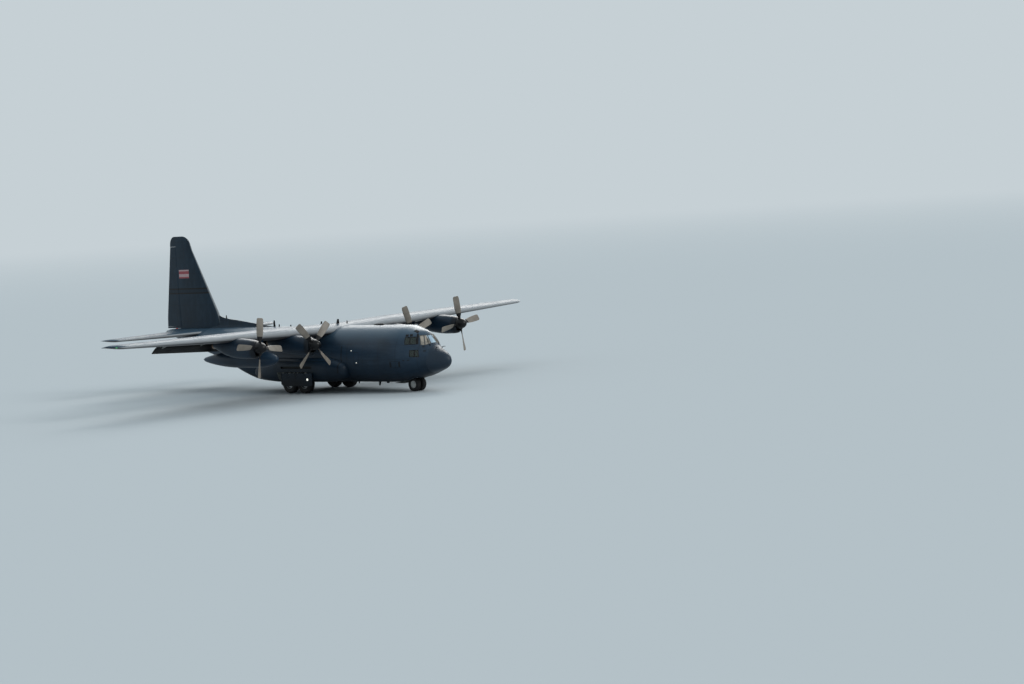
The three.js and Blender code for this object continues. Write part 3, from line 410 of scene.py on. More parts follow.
class Finish:
    """A material and short ways to add nodes to it."""

    def __init__(self, name, roughness=0.5, metallic=0.0, **settings):
        self.material = bpy.data.materials.new(name)
        self.material.use_nodes = True
        self.tree = self.material.node_tree
        self.shader = self.tree.nodes["Principled BSDF"]
        self.set(Roughness=roughness, Metallic=metallic, **settings)
        self.coordinates = self.tree.nodes.new("ShaderNodeTexCoord").outputs
        self.point = Value(self.coordinates["Object"])

    def set(self, **settings):
        for name, value in settings.items():
            put(self.shader.inputs[name.replace("_", " ")], value)

    def painted(self, colour, **settings):
        """The material, once its colour and its last settings are in."""
        self.set(Base_Color=colour, **settings)
        return self.material

    def split(self, vector):
        return [Value(part) for part in add_node(self.tree, "ShaderNodeSeparateXYZ", Vector=vector).outputs]

    def places(self):
        """Station, distance to port and height of the point, in real metres."""
        x, y, z = [part * (1 / MODEL_SCALE) for part in self.split(self.point)]
        return LENGTH / 2 - x, y, z

    def facing(self):
        """How far the surface faces forward, to port and up, at rest: the piece's own normal."""
        return self.split(Value(self.coordinates["Normal"]))

    def noise(self, scale, detail=4.0, rough=0.55, low=0.35, high=0.65, stretch=(1, 1, 1)):
        """Cloudy variation from nought to one, sized in model metres."""
        spread = add_node(self.tree, "ShaderNodeMapping", Vector=self.point, Scale=stretch)
        made = add_node(self.tree, "ShaderNodeTexNoise", Vector=Value(spread.outputs[0]), Scale=scale,
                        Detail=detail, Roughness=rough)
        return Value(made.outputs[0]).ramp(low, high)

    def mix(self, amount, a, b):
        made = self.tree.nodes.new("ShaderNodeMix")
        made.data_type = "RGBA"
        for number, value in ((0, amount), (6, a), (7, b)):
            put(made.inputs[number], value)
        return Value(made.outputs[2])

    def layered(self, colour, *layers):
        """The colour under further ones, each given after how much of it shows."""
        for amount, over in layers:
            colour = self.mix(amount, colour, over)
        return colour

    def bump(self, height, depth=0.002, strength=0.6):
        made = add_node(self.tree, "ShaderNodeBump", Strength=strength, Distance=depth, Height=height)
        self.set(Normal=Value(made.outputs[0]))


# Paints, from the photograph's blue-grey scheme

PAINT = srgb(25, 46, 64)
PAINT_DARK = srgb(20, 34, 47)
PAINT_WORN = srgb(44, 60, 74)
LINE = srgb(9, 12, 15)
GRIME = srgb(18, 16, 16)
SOOT = srgb(14, 12, 11)
# Pale blue-grey for up-facing skin: faded paint, and painted light from above
FADED_AND_LIT = srgb(62, 85, 102)
# Warm grey for down-facing skin: painted light thrown up from the ground
GROUND_LIT_UNDERSIDE = srgb(72, 69, 70)
# Pale grey for forward-facing edges: scoured paint and a painted highlight
SCOURED_AND_HIGHLIT = srgb(156, 160, 163)
NEAR_BLACK = srgb(16, 17, 19)
HEAT_TINT = srgb(92, 70, 52)

# The engines' distances from the middle and their heights, and the wing's front edge, chord and joint
INNER_ENGINE = (4.95, 3.72)
OUTER_ENGINE = (10.05, 3.95)
WING_EDGE = 10.15
WING_CHORD = 4.88
WING_JOINT = 5.60
EDGE_SWEEP = 0.0396
CHORD_TAPER = 0.164

# Rows of panel joints: spacing, half width, how far along the first one lies
HULL_FRAMES = (1.53, 0.016, 0.36)
HULL_LAPS = (1.045, 0.014, 0.20)
WING_RIBS = (1.39, 0.014)
WING_SPARS = (0.2, 0.004, 0.15)
FIN_RIBS = (1.21, 0.013, 0.35)
FIN_SPARS = (1.15, 0.013, 0.60)
FLAP_RIBS = (0.695, 0.012)
# Single joints, by station
NACELLE_JOINTS = (8.73, 10.27, 11.50, 12.20)
TANK_JOINTS = (11.3, 13.2, 14.6)
# The axis and the radius that the hull's lap joints are measured round
LAP_AXIS = 2.6
LAP_RADIUS = 2.0
# Heights over which the hull's crown is painted paler, as faded paint and as light from above, its sides
# darken with painted shade, its belly darkens with grime and painted shade, and its gloss comes in
CROWN_FADE_AND_LIGHT = (3.5, 4.5)
SIDE_SHADE = (2.7, 1.5)
BELLY_GRIME_AND_SHADE = (1.6, 0.7)
GLOSS = (1.2, 3.2)
PROPELLER_BAND = ((8.53, 8.63), (1.45, 3.35))


def weathered(finish, stretch, base=PAINT, dark=PAINT_DARK, worn=PAINT_WORN, rough=(0.42, 0.16)):
    """Colour and roughness of flat paint with cloudy fading and streaks that run with the air."""
    cloudy = finish.noise(0.9, 5)
    streaks = finish.noise(5.0, 4, 0.6, 0.42, 0.72, stretch)
    specks = finish.noise(60.0, 2, 0.5, 0.6, 0.8)
    colour = finish.layered(base, (cloudy * 0.75, dark), (streaks * 0.35, worn), (specks * 0.12, LINE))
    return colour, rough[0] + streaks * rough[1]


def seams(finish, colour, mask, shade=0.6, depth=0.002):
    """Panel joints: a darker line with a fine groove."""
    finish.bump(1.0 - mask, depth)
    return finish.mix(mask * shade, colour, LINE)


def soot(finish, colour, s, y, start, end, width=0.45):
    """Exhaust stain behind the two engines on each side."""
    stain = most(*[abs(abs(y) - span).ramp(width, 0.05) for span, _ in (INNER_ENGINE, OUTER_ENGINE)])
    cloudy = finish.noise(3.0, 5, 0.6, 0.25, 0.7, (0.3, 1, 1))
    return finish.mix(stain * s.ramp(start, end) * (0.35 + cloudy * 0.5), colour, SOOT)


def scoured_and_highlit_edge(finish, colour, amount):
    """Forward-facing edges painted pale: paint scoured by rain and dust, and a painted highlight."""
    forward, _, _ = finish.facing()
    return finish.mix(forward.ramp(0.4, 0.75) * amount, colour, SCOURED_AND_HIGHLIT)


def glossy(name, coat=0.9):
    """Paint under a thin clear coat, which mirrors the sky where it is seen edge on."""
    return Finish(name, 0.5, Specular_IOR_Level=0.1, Coat_Weight=coat, Coat_Roughness=0.36, Coat_IOR=1.33)


SKIN_MARKS = [
    # from, to, low, high, how dark: a hatch amidships, a panel by the nose gear and its dark ends,
    # two static ports and two squares by the wiper
    (6.84, 7.35, 1.95, 2.91, 0.0),
    (3.06, 3.91, 1.80, 2.26, 0.0),
    (3.06, 3.20, 1.86, 2.20, 0.8),
    (3.76, 3.91, 1.86, 2.20, 0.8),
    (2.72, 2.86, 2.26, 2.32, 0.9),
    (2.40, 2.54, 2.27, 2.33, 0.9),
    (1.62, 1.74, 3.14, 3.23, 0.8),
    (1.46, 1.60, 2.84, 2.94, 0.6),
]
MARK_EDGE = 0.02


def skin_marks(finish, s, z, colour):
    """Each mark as a thin dark outline round a shaded field."""
    for s0, s1, z0, z1, dark in SKIN_MARKS:
        field = s.within(s0, s1) * z.within(z0, z1)
        inner = s.within(s0 + MARK_EDGE, s1 - MARK_EDGE) * z.within(z0 + MARK_EDGE, z1 - MARK_EDGE)
        colour = finish.mix(most(field - inner, inner * dark), colour, LINE)
    return colour


def hull_paint():
    finish = glossy("hull paint")
    s, y, z = finish.places()
    colour, roughness = weathered(finish, (0.18, 2.2, 2.2))
    girth = calculate("ARCTAN2", z - LAP_AXIS, y) * LAP_RADIUS
    colour = seams(finish, colour, most(s.lines(*HULL_FRAMES), girth.lines(*HULL_LAPS)), 0.7)
    # The crown is painted paler, as faded paint and as light from above
    colour = skin_marks(finish, s, z, finish.mix(z.ramp(*CROWN_FADE_AND_LIGHT) * 0.8, colour, FADED_AND_LIT))
    # Cloudy grime on the belly, made darker as well to paint the shade underneath
    belly = z.ramp(*BELLY_GRIME_AND_SHADE) * finish.noise(2.0, 5, 0.6, 0.2, 0.7, (0.35, 1, 1))
    stations, heights = PROPELLER_BAND
    band = s.within(*stations, 0.01) * z.within(*heights, 0.03)
    # Painted shade darkens the lower sides; then the belly's grime and shade, and the propeller band
    colour = finish.layered(
        colour, (z.ramp(*SIDE_SHADE) * 0.35, LINE), (belly * 0.75, GRIME), (band * 0.75, LINE))
    return finish.painted(colour, Roughness=roughness, Coat_Weight=z.ramp(*GLOSS, 0.2, 0.9))


def wing_paint():
    finish = glossy("wing paint", 0.4)
    s, y, _ = finish.places()
    colour, roughness = weathered(finish, (2.2, 0.22, 2.2))
    out = most(abs(y) - WING_JOINT, 0.0)
    share = (s - WING_EDGE - out * EDGE_SWEEP) / (WING_CHORD - out * CHORD_TAPER)
    colour = seams(finish, colour, most(y.lines(*WING_RIBS), share.lines(*WING_SPARS)))
    colour = soot(finish, colour, s, y, 12.4, 13.6)
    _, _, up = finish.facing()
    # Up-facing skin is painted paler (faded paint and light from above); down-facing skin takes painted
    # ground light
    colour = finish.layered(colour, (up.ramp(0.3, 0.9) * 0.6, FADED_AND_LIT), (up.ramp(0.15, -0.1), GROUND_LIT_UNDERSIDE))
    return finish.painted(scoured_and_highlit_edge(finish, colour, 0.7), Roughness=roughness)


# The fin's band with dark edges, and a plain striped patch of like colours
BAND = (7.32, 7.66)
BAND_EDGE = 0.05
BAND_COLOUR = srgb(20, 29, 38)
PATCH_S = (26.55, 27.75)
PATCH_Z = (8.47, 9.11)
PATCH_STRIPE = (PATCH_Z[1] - PATCH_Z[0]) / 3
PATCH_RED = srgb(146, 74, 80)
PATCH_PALE = srgb(176, 150, 152)


def fin_paint():
    finish = Finish("fin paint", 0.5, Specular_IOR_Level=0.1, Coat_Weight=0.2, Coat_Roughness=0.4)
    s, _, z = finish.places()
    colour, roughness = weathered(
        finish, (1.5, 2.0, 0.5), srgb(20, 40, 54), srgb(15, 31, 43), rough=(0.4, 0.14))
    colour = seams(finish, colour, most(z.lines(*FIN_RIBS), s.lines(*FIN_SPARS)))
    edges = most(*[z.near(height, BAND_EDGE) for height in BAND])
    pale = calculate("GREATER_THAN", calculate("PINGPONG", z - PATCH_Z[0], PATCH_STRIPE), PATCH_STRIPE / 2)
    patch = s.within(*PATCH_S) * z.within(*PATCH_Z)
    colour = finish.layered(colour, (z.within(*BAND) * 0.5, BAND_COLOUR), (edges, NEAR_BLACK),
                            (patch, finish.mix(pale, PATCH_RED, PATCH_PALE)))
    return finish.painted(scoured_and_highlit_edge(finish, colour, 0.5), Roughness=roughness)


def nacelle_paint():
    finish = glossy("nacelle paint", 0.5)
    s, y, _ = finish.places()
    colour, roughness = weathered(finish, (0.3, 2.5, 2.5))
    colour = seams(finish, colour, s.joints(NACELLE_JOINTS, 0.027), depth=0.003)
    colour = soot(finish, colour, s, y, 11.4, 12.8, 0.7)
    oil = finish.noise(2.2, 5, 0.65, 0.4, 0.8, (0.3, 1.6, 1.6))
    colour = finish.layered(colour, (oil * 0.5, GRIME), (s.ramp(8.95, 8.6) * 0.8, NEAR_BLACK))
    return finish.painted(colour, Roughness=roughness)


def tank_paint():
    finish = glossy("tank paint", 0.5)
    s, _, _ = finish.places()
    colour, roughness = weathered(finish, (0.25, 2.5, 2.5))
    return finish.painted(seams(finish, colour, s.joints(TANK_JOINTS, 0.02)), Roughness=roughness)


# The flaps are painted near black as the shadow under the wing, with rib joints and soot over it
def flap_shadow_paint():
    finish = Finish("flap paint in painted shadow", 0.6, Specular_IOR_Level=0.05)
    s, y, _ = finish.places()
    colour, roughness = weathered(
        finish, (2.2, 0.4, 2.2), srgb(9, 8, 9), srgb(5, 5, 5), srgb(16, 15, 15), (0.4, 0.14))
    colour = seams(finish, colour, y.lines(*FLAP_RIBS), 0.4)
    return finish.painted(soot(finish, colour, s, y, 12.0, 12.8, 0.85), Roughness=roughness)


def plain_paint(name, base, roughness, dirt, scale=3.0, wear=None):
    """Paint with cloudy dirt and, where wear is given, that colour at the sharp edges."""
    finish = Finish(name, roughness, Specular_IOR_Level=0.25)
    cloudy = finish.noise(scale, 5, 0.6, 0.3, 0.75)
    fine = finish.noise(scale * 14, 3, 0.6, 0.35, 0.7)
    colour = finish.layered(base, (cloudy * dirt, GRIME), (fine * (dirt * 0.3), darker(base)))
    if wear is not None:
        sharp = Value(finish.tree.nodes.new("ShaderNodeNewGeometry").outputs["Pointiness"])
        colour = finish.mix(sharp.ramp(0.52, 0.6) * 0.6, colour, wear)
    finish.bump(fine, 0.0006, 0.3)
    return finish.painted(colour, Roughness=roughness - 0.06 + fine * 0.14)


def bare_metal(name, base, roughness, stain=None):
    finish = Finish(name, roughness, 1.0)
    cloudy = finish.noise(6.0, 5, 0.6, 0.3, 0.7)
    fine = finish.noise(70.0, 3, stretch=(1, 0.2, 1))
    finish.bump(fine, 0.0003, 0.3)
    colour = finish.mix(cloudy * 0.6, base, stain or darker(base))
    return finish.painted(colour, Roughness=roughness - 0.08 + fine * 0.2)


def rubber():
    finish = Finish("tyre rubber", 0.82, Specular_IOR_Level=0.35)
    dust = finish.noise(9.0, 5, 0.6, 0.4, 0.75)
    finish.bump(finish.noise(120.0, 3), 0.0006, 0.35)
    colour = finish.mix(dust * 0.35, srgb(22, 22, 24), srgb(58, 56, 54))
    return finish.painted(colour, Roughness=0.74 + dust * 0.16)


def window_glass():
    finish = Finish("window glass", 0.04, IOR=1.5)
    haze = finish.noise(3.0, 4, 0.6, 0.4, 0.8)
    colour = finish.mix(haze * 0.3, srgb(60, 84, 74), srgb(40, 60, 58))
    return finish.painted(colour, Roughness=0.03 + haze * 0.05, Transmission_Weight=0.86)


def sky_reflection_glass():
    """Heated windshield glass whose colour is a painted sky reflection, bluish in the middle and beige at the
    sides, bright enough to hide most of the cabin.
    """
    finish = Finish("windshield glass with painted sky reflection", 0.06, IOR=1.7)
    _, y, _ = finish.places()
    haze = finish.noise(4.5, 4, 0.6, 0.35, 0.7)
    sides = finish.mix(haze, srgb(158, 150, 138), srgb(110, 106, 98))
    middle = finish.mix(haze, srgb(176, 200, 214), srgb(146, 170, 190))
    colour = finish.mix(abs(y).ramp(0.30, 0.27), sides, middle)
    return finish.painted(colour, Roughness=0.05 + haze * 0.08, Transmission_Weight=0.12)


THREADS = 260.0


def woven(name, base, other):
    """Coarse cloth: two crossed sets of threads."""
    finish = Finish(name, 0.9, Sheen_Weight=0.2)
    a, b, c = [calculate("SINE", part * (THREADS * 6.28)) for part in finish.split(finish.point)]
    weave = (a * b + c * 0.5).ramp(-1.0, 1.0)
    finish.bump(weave, 0.0008, 0.5)
    colour = finish.mix(weave, base, other)
    return finish.painted(finish.mix(finish.noise(5.0) * 0.4, colour, darker(base, 0.5)))


def lining(name, base, pitch):
    """Quilted wall lining: rows of soft pads between stitched lines."""
    finish = Finish(name, 0.75)
    s, _, z = finish.places()
    seam = most(s.lines(pitch, 0.02), z.lines(pitch, 0.02))
    finish.bump(1.0 - seam, 0.006, 0.5)
    return finish.painted(
        finish.layered(base, (finish.noise(2.0) * 0.35, darker(base)), (seam * 0.5, srgb(40, 42, 40))))


def lamp(name, colour, strength):
    finish = Finish(name, 0.15, Transmission_Weight=0.2)
    glass = finish.mix(finish.noise(160.0, 2) * 0.2, colour, srgb(240, 240, 235))
    return finish.painted(glass, Emission_Color=colour, Emission_Strength=strength)


HULL_PAINT = hull_paint()
WING_PAINT = wing_paint()
FIN_PAINT = fin_paint()
NACELLE_PAINT = nacelle_paint()
TANK_PAINT = tank_paint()
FLAP_SHADOW_PAINT = flap_shadow_paint()
# Plain paints: colour, roughness, dirt, scale of the dirt, colour of worn edges
RADOME_PAINT = plain_paint("radome paint", srgb(31, 46, 60), 0.42, 0.3, 1.4)
WELL_PAINT = plain_paint("well paint", srgb(150, 154, 150), 0.55, 0.55)
GEAR_PAINT = plain_paint("gear paint", srgb(196, 198, 196), 0.4, 0.4, 6.0, srgb(120, 120, 118))
BLADE_PAINT = plain_paint("blade paint", srgb(124, 118, 110), 0.4, 0.3, 4.0)
BLADE_CUFF = plain_paint("blade cuff", srgb(14, 14, 16), 0.6, 0.2, 8.0)
SPINNER_PAINT = plain_paint("spinner paint", srgb(11, 12, 14), 0.36, 0.2, 4.0)
TRIM_BLACK = plain_paint("black trim", srgb(9, 9, 11), 0.6, 0.3, 8.0)
CABIN_PAINT = plain_paint("cabin paint", srgb(56, 60, 62), 0.7, 0.3, 6.0)
INSTRUMENTS = plain_paint("instrument black", srgb(14, 15, 16), 0.35, 0.1, 20.0)
DIAL = plain_paint("dial faces", srgb(150, 152, 146), 0.3, 0.3, 40.0)
# Near black for linings and inner faces in hollows, which stands for their shade as well
DUCT_AND_SHADE_BLACK = plain_paint("duct lining and painted shade", srgb(14, 15, 16), 0.6, 0.4, 6.0)
WINDOW_METAL = plain_paint("window metal", srgb(72, 74, 74), 0.45, 0.3, 8.0)
EXHAUST = bare_metal("exhaust steel", srgb(120, 104, 92), 0.42, HEAT_TINT)
CHROME = bare_metal("polished strut", srgb(200, 202, 204), 0.14)
STEEL = bare_metal("worn steel", srgb(140, 142, 144), 0.38)
FLOOR_METAL = bare_metal("floor metal", srgb(150, 152, 154), 0.42)
RUBBER = rubber()
GLASS = window_glass()
SKY_REFLECTION_GLASS = sky_reflection_glass()
HOLD_LINING = lining("hold lining", srgb(150, 156, 150), 0.3)
CABIN_LINING = lining("cabin lining", srgb(84, 88, 86), 0.24)
SEAT_CLOTH = woven("seat cloth", srgb(74, 78, 66), srgb(50, 54, 46))
RED_LAMP = lamp("red lamp", srgb(190, 20, 16), 0.4)
GREEN_LAMP = lamp("green lamp", srgb(16, 150, 70), 0.4)
CLEAR_LAMP = lamp("clear lamp", srgb(245, 245, 235), 0.9)


# Fuselage

HULL = table(
    "s half top wide bottom high low",
    (0, 0.02, 2.16, 2.14, 2.12, 2.0, 2.0),
    (0.15, 0.30, 2.50, 2.12, 1.80, 2.0, 2.0),
    (0.46, 0.58, 2.74, 2.10, 1.59, 2.0, 2.1),
    (0.92, 0.89, 2.98, 2.10, 1.42, 1.9, 2.2),
    (1.28, 1.06, 3.20, 2.12, 1.30, 1.85, 2.3),
    (1.71, 1.26, 3.76, 2.20, 1.16, 1.7, 2.4),
    (2.11, 1.48, 4.22, 2.28, 1.05, 1.75, 2.5),
    (2.88, 1.82, 4.45, 2.36, 0.90, 2.0, 2.7),
    (3.73, 2.03, 4.65, 2.44, 0.73, 2.1, 2.9),
    (5.00, 2.16, 4.67, 2.50, 0.68, 2.0, 3.0),
    (17.30, 2.16, 4.67, 2.50, 0.70, 2.0, 3.0),
    (18.20, 2.16, 4.67, 2.50, 0.80, 2.0, 3.0),
    (19.20, 2.15, 4.67, 2.54, 1.14, 2.0, 3.0),
    (20.376, 2.10, 4.67, 2.64, 1.70, 2.0, 3.0),
    (22.50, 1.93, 4.67, 2.98, 2.62, 2.0, 3.0),
    (25.00, 1.55, 4.67, 3.52, 3.30, 2.0, 2.8),
    (27.50, 1.02, 4.665, 4.05, 3.88, 2.0, 2.4),
    (29.00, 0.56, 4.61, 4.33, 4.18, 2.0, 2.2),
    (29.60, 0.27, 4.52, 4.37, 4.25, 2.0, 2.0),
    (LENGTH, 0.03, 4.40, 4.37, 4.34, 2.0, 2.0),
)
HULL_SIDES = 96
NOSE_POWER = 0.5
NOSE_RINGS = 26


def hull_at(s):
    return smooth(HULL, "s", s, NOSE_POWER)


def hull_reach(row, below):
    """The curve's power and the height of a section's half, under or over its widest line."""
    power = np.where(below, row["low"], row["high"])
    return power, np.where(below, row["wide"] - row["bottom"], row["top"] - row["wide"])


def hull_solid(s0, s1, grow=0.0, size=0.25):
    """The hull between two stations, grown all round."""
    stations = steps(s0, s1, size) if s0 > 0 else np.linspace(0, math.sqrt(s1), NOSE_RINGS) ** 2
    c, d = circle(HULL_SIDES)
    rings = []
    for row in each(hull_at(stations)):
        power, reach = hull_reach(row, d < -1e-9)
        y = (row["half"] + grow) * signed_power(c, 2 / power)
        z = row["wide"] + (reach + grow) * signed_power(d, 2 / power)
        rings.append(np.stack([np.full(HULL_SIDES, row["s"]), y, z], 1))
    return loft(rings)


def hull_depth(s, y, z):
    """How far out each point lies: 1 on the skin, less inside."""
    rows = hull_at(s)
    power, reach = hull_reach(rows, z < rows["wide"])
    return (abs(y) / rows["half"]) ** power + (abs(z - rows["wide"]) / reach) ** power


def hull_half(s, z):
    """Half width of the skin at a station and height."""
    [row] = each(hull_at(s))
    power, reach = hull_reach(row, z < row["wide"])
    return row["half"] * max(0.0, 1 - min(1.0, abs(z - row["wide"]) / reach) ** power) ** (1 / power)


def hull_edge(s, y, below):
    [row] = each(hull_at(s))
    power, reach = hull_reach(row, below)
    share = min(1.0, abs(y) / row["half"])
    return row["wide"] + (-reach if below else reach) * (1 - share ** power) ** (1 / power)


def hull_top(s, y=0.0):
    return hull_edge(s, y, False)


def hull_bottom(s, y=0.0):
    return hull_edge(s, y, True)


HOLLOW = "s floor_y floor_z knee_y knee_z low_y low_z high_y high_z arm_y arm_z roof_y roof_z"
HOLD = table(
    HOLLOW,
    (4.15, 1.40, 0.97, 1.56, 1.85, 1.93, 2.30, 1.88, 3.10, 1.56, 3.74, 0.76, 4.40),
    (5.00, 1.50, 0.97, 1.58, 1.85, 2.01, 2.30, 1.96, 3.10, 1.64, 3.76, 0.76, 4.42),
    (17.370, 1.50, 0.97, 1.58, 1.85, 2.01, 2.30, 1.96, 3.10, 1.64, 3.76, 0.76, 4.42),
    (17.372, 1.50, 1.06, 1.78, 1.70, 2.01, 2.30, 1.96, 3.10, 1.64, 3.76, 0.76, 4.42),
    (20.35, 1.50, 1.99, 1.74, 2.20, 1.89, 2.60, 1.88, 3.20, 1.60, 3.80, 0.76, 4.42),
    (22.50, 1.34, 2.88, 1.58, 2.96, 1.72, 3.10, 1.68, 3.46, 1.39, 3.90, 0.72, 4.28),
    (23.70, 1.24, 3.14, 1.44, 3.21, 1.56, 3.33, 1.52, 3.65, 1.26, 3.96, 0.70, 4.20),
    (24.20, 1.17, 3.32, 1.32, 3.37, 1.45, 3.46, 1.42, 3.64, 1.18, 3.86, 0.70, 3.98),
    (26.40, 0.78, 3.78, 0.88, 3.80, 0.96, 3.84, 0.92, 3.87, 0.76, 3.92, 0.50, 3.96),
)
DECK = table(
    HOLLOW,
    (1.76, 0.95, 2.25, 0.99, 2.45, 1.00, 2.65, 0.90, 2.95, 0.64, 3.28, 0.30, 3.52),
    (2.15, 1.18, 2.25, 1.21, 2.60, 1.20, 2.90, 1.05, 3.30, 0.74, 3.64, 0.28, 3.90),
    (2.88, 1.40, 2.25, 1.50, 2.70, 1.54, 3.05, 1.38, 3.45, 1.02, 3.90, 0.52, 4.20),
    (4.16, 1.74, 2.25, 1.85, 2.75, 1.89, 3.10, 1.76, 3.50, 1.38, 3.98, 0.76, 4.40),
)
# The corners that an inset moves up or down as well as inwards
LEVEL_CORNERS = ("floor", "arm", "roof")


def both_halves(s, half):
    """A ring at a station, from the [y, z] points of its port half."""
    return [(s, y, z) for y, z in half] + [(s, -y, z) for y, z in reversed(half)]


def hollow_ring(row, inset=0.0):
    middle = (row["floor_z"] + row["roof_z"]) / 2
    half = []
    for name in ("floor", "knee", "low", "high", "arm", "roof"):
        y, z = row[name + "_y"], row[name + "_z"]
        half.append((y - inset, z - inset * np.sign(z - middle) * (name in LEVEL_CORNERS)))
    return both_halves(row["s"], half)


def hollow(rows):
    return loft([hollow_ring(row) for row in each(rows)])


SEAT_GAP = 0.0007
RUN_GAP = 0.014
RADOME_JOINT = 1.29
FORWARD_JOINT = 5.90
AFT_JOINT = 17.35
# Cutting tools reach this far past the skin. A control surface's room reaches this far behind it, and this
# far over and under it.
CLEAR = 4.0
FAR = 30.0
DEEP = 2.5

# Panes on the port side and the middle. Front panes are seen from ahead as [y, z], side panes as [s, z]
# and roof panes from above as [s, y].
FRONT_TOOL = (1.31, 2.20)
OUTER_TOOL = (1.31, 2.42)
SIDE_TOOL = (0.45, 2.40)
ROOF_TOOL = (3.95, 5.00)
PANES = [
    # window, seen along, how deep its tool runs, corners
    ("windshield", "s", FRONT_TOOL, [(-0.27, 3.39), (0.27, 3.39), (0.16, 3.91), (-0.16, 3.91)]),
    ("windshield", "s", FRONT_TOOL, [(0.32, 3.38), (0.69, 3.30), (0.42, 3.92), (0.21, 3.92)]),
    ("windshield", "s", OUTER_TOOL, [(0.74, 3.30), (0.93, 3.31), (0.70, 3.93), (0.47, 3.93)]),
    ("side_window", "y", SIDE_TOOL, [(2.10, 3.39), (2.46, 3.39), (2.60, 3.86), (2.28, 3.86)]),
    ("side_window", "y", SIDE_TOOL, [(2.50, 3.39), (2.79, 3.40), (2.92, 3.86), (2.64, 3.86)]),
    ("lower_window", "y", SIDE_TOOL, [(1.79, 2.52), (2.04, 2.53), (2.07, 2.97), (1.90, 2.96)]),
    ("lower_window", "y", SIDE_TOOL, [(2.09, 2.53), (2.36, 2.55), (2.39, 2.98), (2.12, 2.97)]),
]
# Dark areas round the windows: the corner posts and the blinds above them, as for the panes
BLINDS = [
    ("y", SIDE_TOOL, [(1.97, 3.37), (2.07, 3.37), (2.25, 3.88), (2.35, 4.05), (2.27, 4.08), (2.13, 3.86)]),
    ("y", SIDE_TOOL, [(2.75, 3.91), (2.94, 3.91), (3.00, 4.05), (2.82, 4.05)]),
    ("y", SIDE_TOOL, [(2.50, 3.91), (2.67, 3.91), (2.75, 4.06), (2.58, 4.06)]),
    ("z", ROOF_TOOL, [(2.33, 0.44), (2.68, 0.44), (2.68, 0.66), (2.33, 0.66)]),
]
PANE_GAP = 0.004
GLASS_DEPTH = 0.045
FRAME_WIDTH = {"s": 0.024, "y": 0.022}

RADOME_HOLLOW = (0.9, 2.0, -0.55, 0.55, 1.6, 2.5)
NOSE_WELL = (2.60, 4.05, -0.73, 0.73, 0.0, 1.75)
MAIN_WELL = (11.48, 14.72)
WELL_INNER = 1.68
CREW_DOOR = (4.25, 5.01, 1.06, 2.56)
TROOP_DOOR = (17.85, 18.75, 1.25, 2.95)
DOOR_INNER = 1.40
# Room under the crew door's hinge for its outer face when it hangs open
SILL_RELIEF = 0.035
SILL_INNER = 1.56
JACK_PADS = [(5.30, 0.90, 0.64, 0.90), (15.40, 1.12, 0.65, 0.95)]
PAD_HALF = 0.07
SADDLE = (9.80, 15.50, 3.93)
TAIL_SADDLE = (24.30, 28.30, 4.08)

RAMP_HINGE = (17.45, 0.80)
RAMP_LUGS = (-0.75, 0.75)
LUG_HALF = 0.08
LUG_RADIUS = 0.045
RAMP_HALF = 1.486
RAMP_OUTLINE = [
    (17.40, 1.03), (17.40, 0.85), (17.432, 0.65), (17.432, 0.30), (20.34, 0.30), (20.34, 1.70), (20.22, 1.90),
]
RAMP_RAIL = [(17.52, 1.057), (20.16, 1.871), (20.16, 1.897), (17.52, 1.083)]
CARGO_HINGE = (24.50, 3.29)
CARGO_OUTLINE = [(20.376, 0.30), (24.54, 0.30), (24.54, 3.35), (22.50, 2.85), (20.27, 1.887), (20.376, 1.71)]
CARGO_PLAN = [(20.0, 1.486), (20.376, 1.486), (24.60, 1.16), (24.60, -1.16), (20.376, -1.486), (20.0, -1.486)]
OPENING_OUTLINE = [
    (17.3, 0.30), (24.58, 0.30), (24.58, 3.44), (24.15, 3.37), (22.50, 2.93), (20.35, 2.04), (17.3, 1.095),
]
OPENING_PLAN = [(17.0, 1.5), (20.376, 1.5), (24.70, 1.166), (24.70, -1.166), (20.376, -1.5), (17.0, -1.5)]

SKIN_DEPTH = 0.975
OUTSIDE, INSIDE, WELL = 0, 1, 2


def inside_marked(shape, well=None):
    """Faces on the skin keep the first finish, faces within it take the second, and a well's the third."""
    s, y, z = shape.centres()
    inner = hull_depth(s, y, z) < SKIN_DEPTH
    looks = np.where(inner, INSIDE, OUTSIDE)
    if well is not None:
        looks[inner & well(s, y, z)] = WELL
    return shape.looked(looks)


def side_box(s0, s1, z0, z1, side, inner, grow=0.0):
    return block(s0 - grow, s1 + grow, *sorted([side * inner, side * CLEAR]), z0 - grow, z1 + grow)


def saddle_box(s0, s1, z, gap=0.0, half=CLEAR):
    """All of the hull over a saddle, where another part sits."""
    return block(s0, s1, -half, half, z + gap, 8)


def saddle_crown(saddle, size, half=CLEAR):
    """The hull's own crown over a saddle, which belongs to the part that sits there."""
    s0, s1, _ = saddle
    crown = hull_solid(s0 + SEAT_GAP, s1 - SEAT_GAP, size=size)
    return carve(crown, saddle_box(*saddle, SEAT_GAP, half), keep=True)


def fuselage(name, shell, cuts, inside, well=None, extra=()):
    shape = inside_marked(carve(shell, hollow(HOLD), *cuts), well)
    finishes = [HULL_PAINT, inside] + ([WELL_PAINT] if well else [])
    piece(f"{name}_fuselage_skin", joined(shape, *extra), finishes, replaces=f"{name}_fuselage")


def jack_pads(s, y, z0, z1):
    return [bar(s - PAD_HALF, s + PAD_HALF, side * y, PAD_HALF, z0, z1) for side in BOTH]


def ramp_lug(y):
    s, z = RAMP_HINGE
    arm = bar(AFT_JOINT - 0.04, s, y, LUG_HALF, z - LUG_RADIUS, z + LUG_RADIUS)
    return joined(arm, rod(LUG_RADIUS, -LUG_HALF, LUG_HALF, "y", (s, y, z), 20))


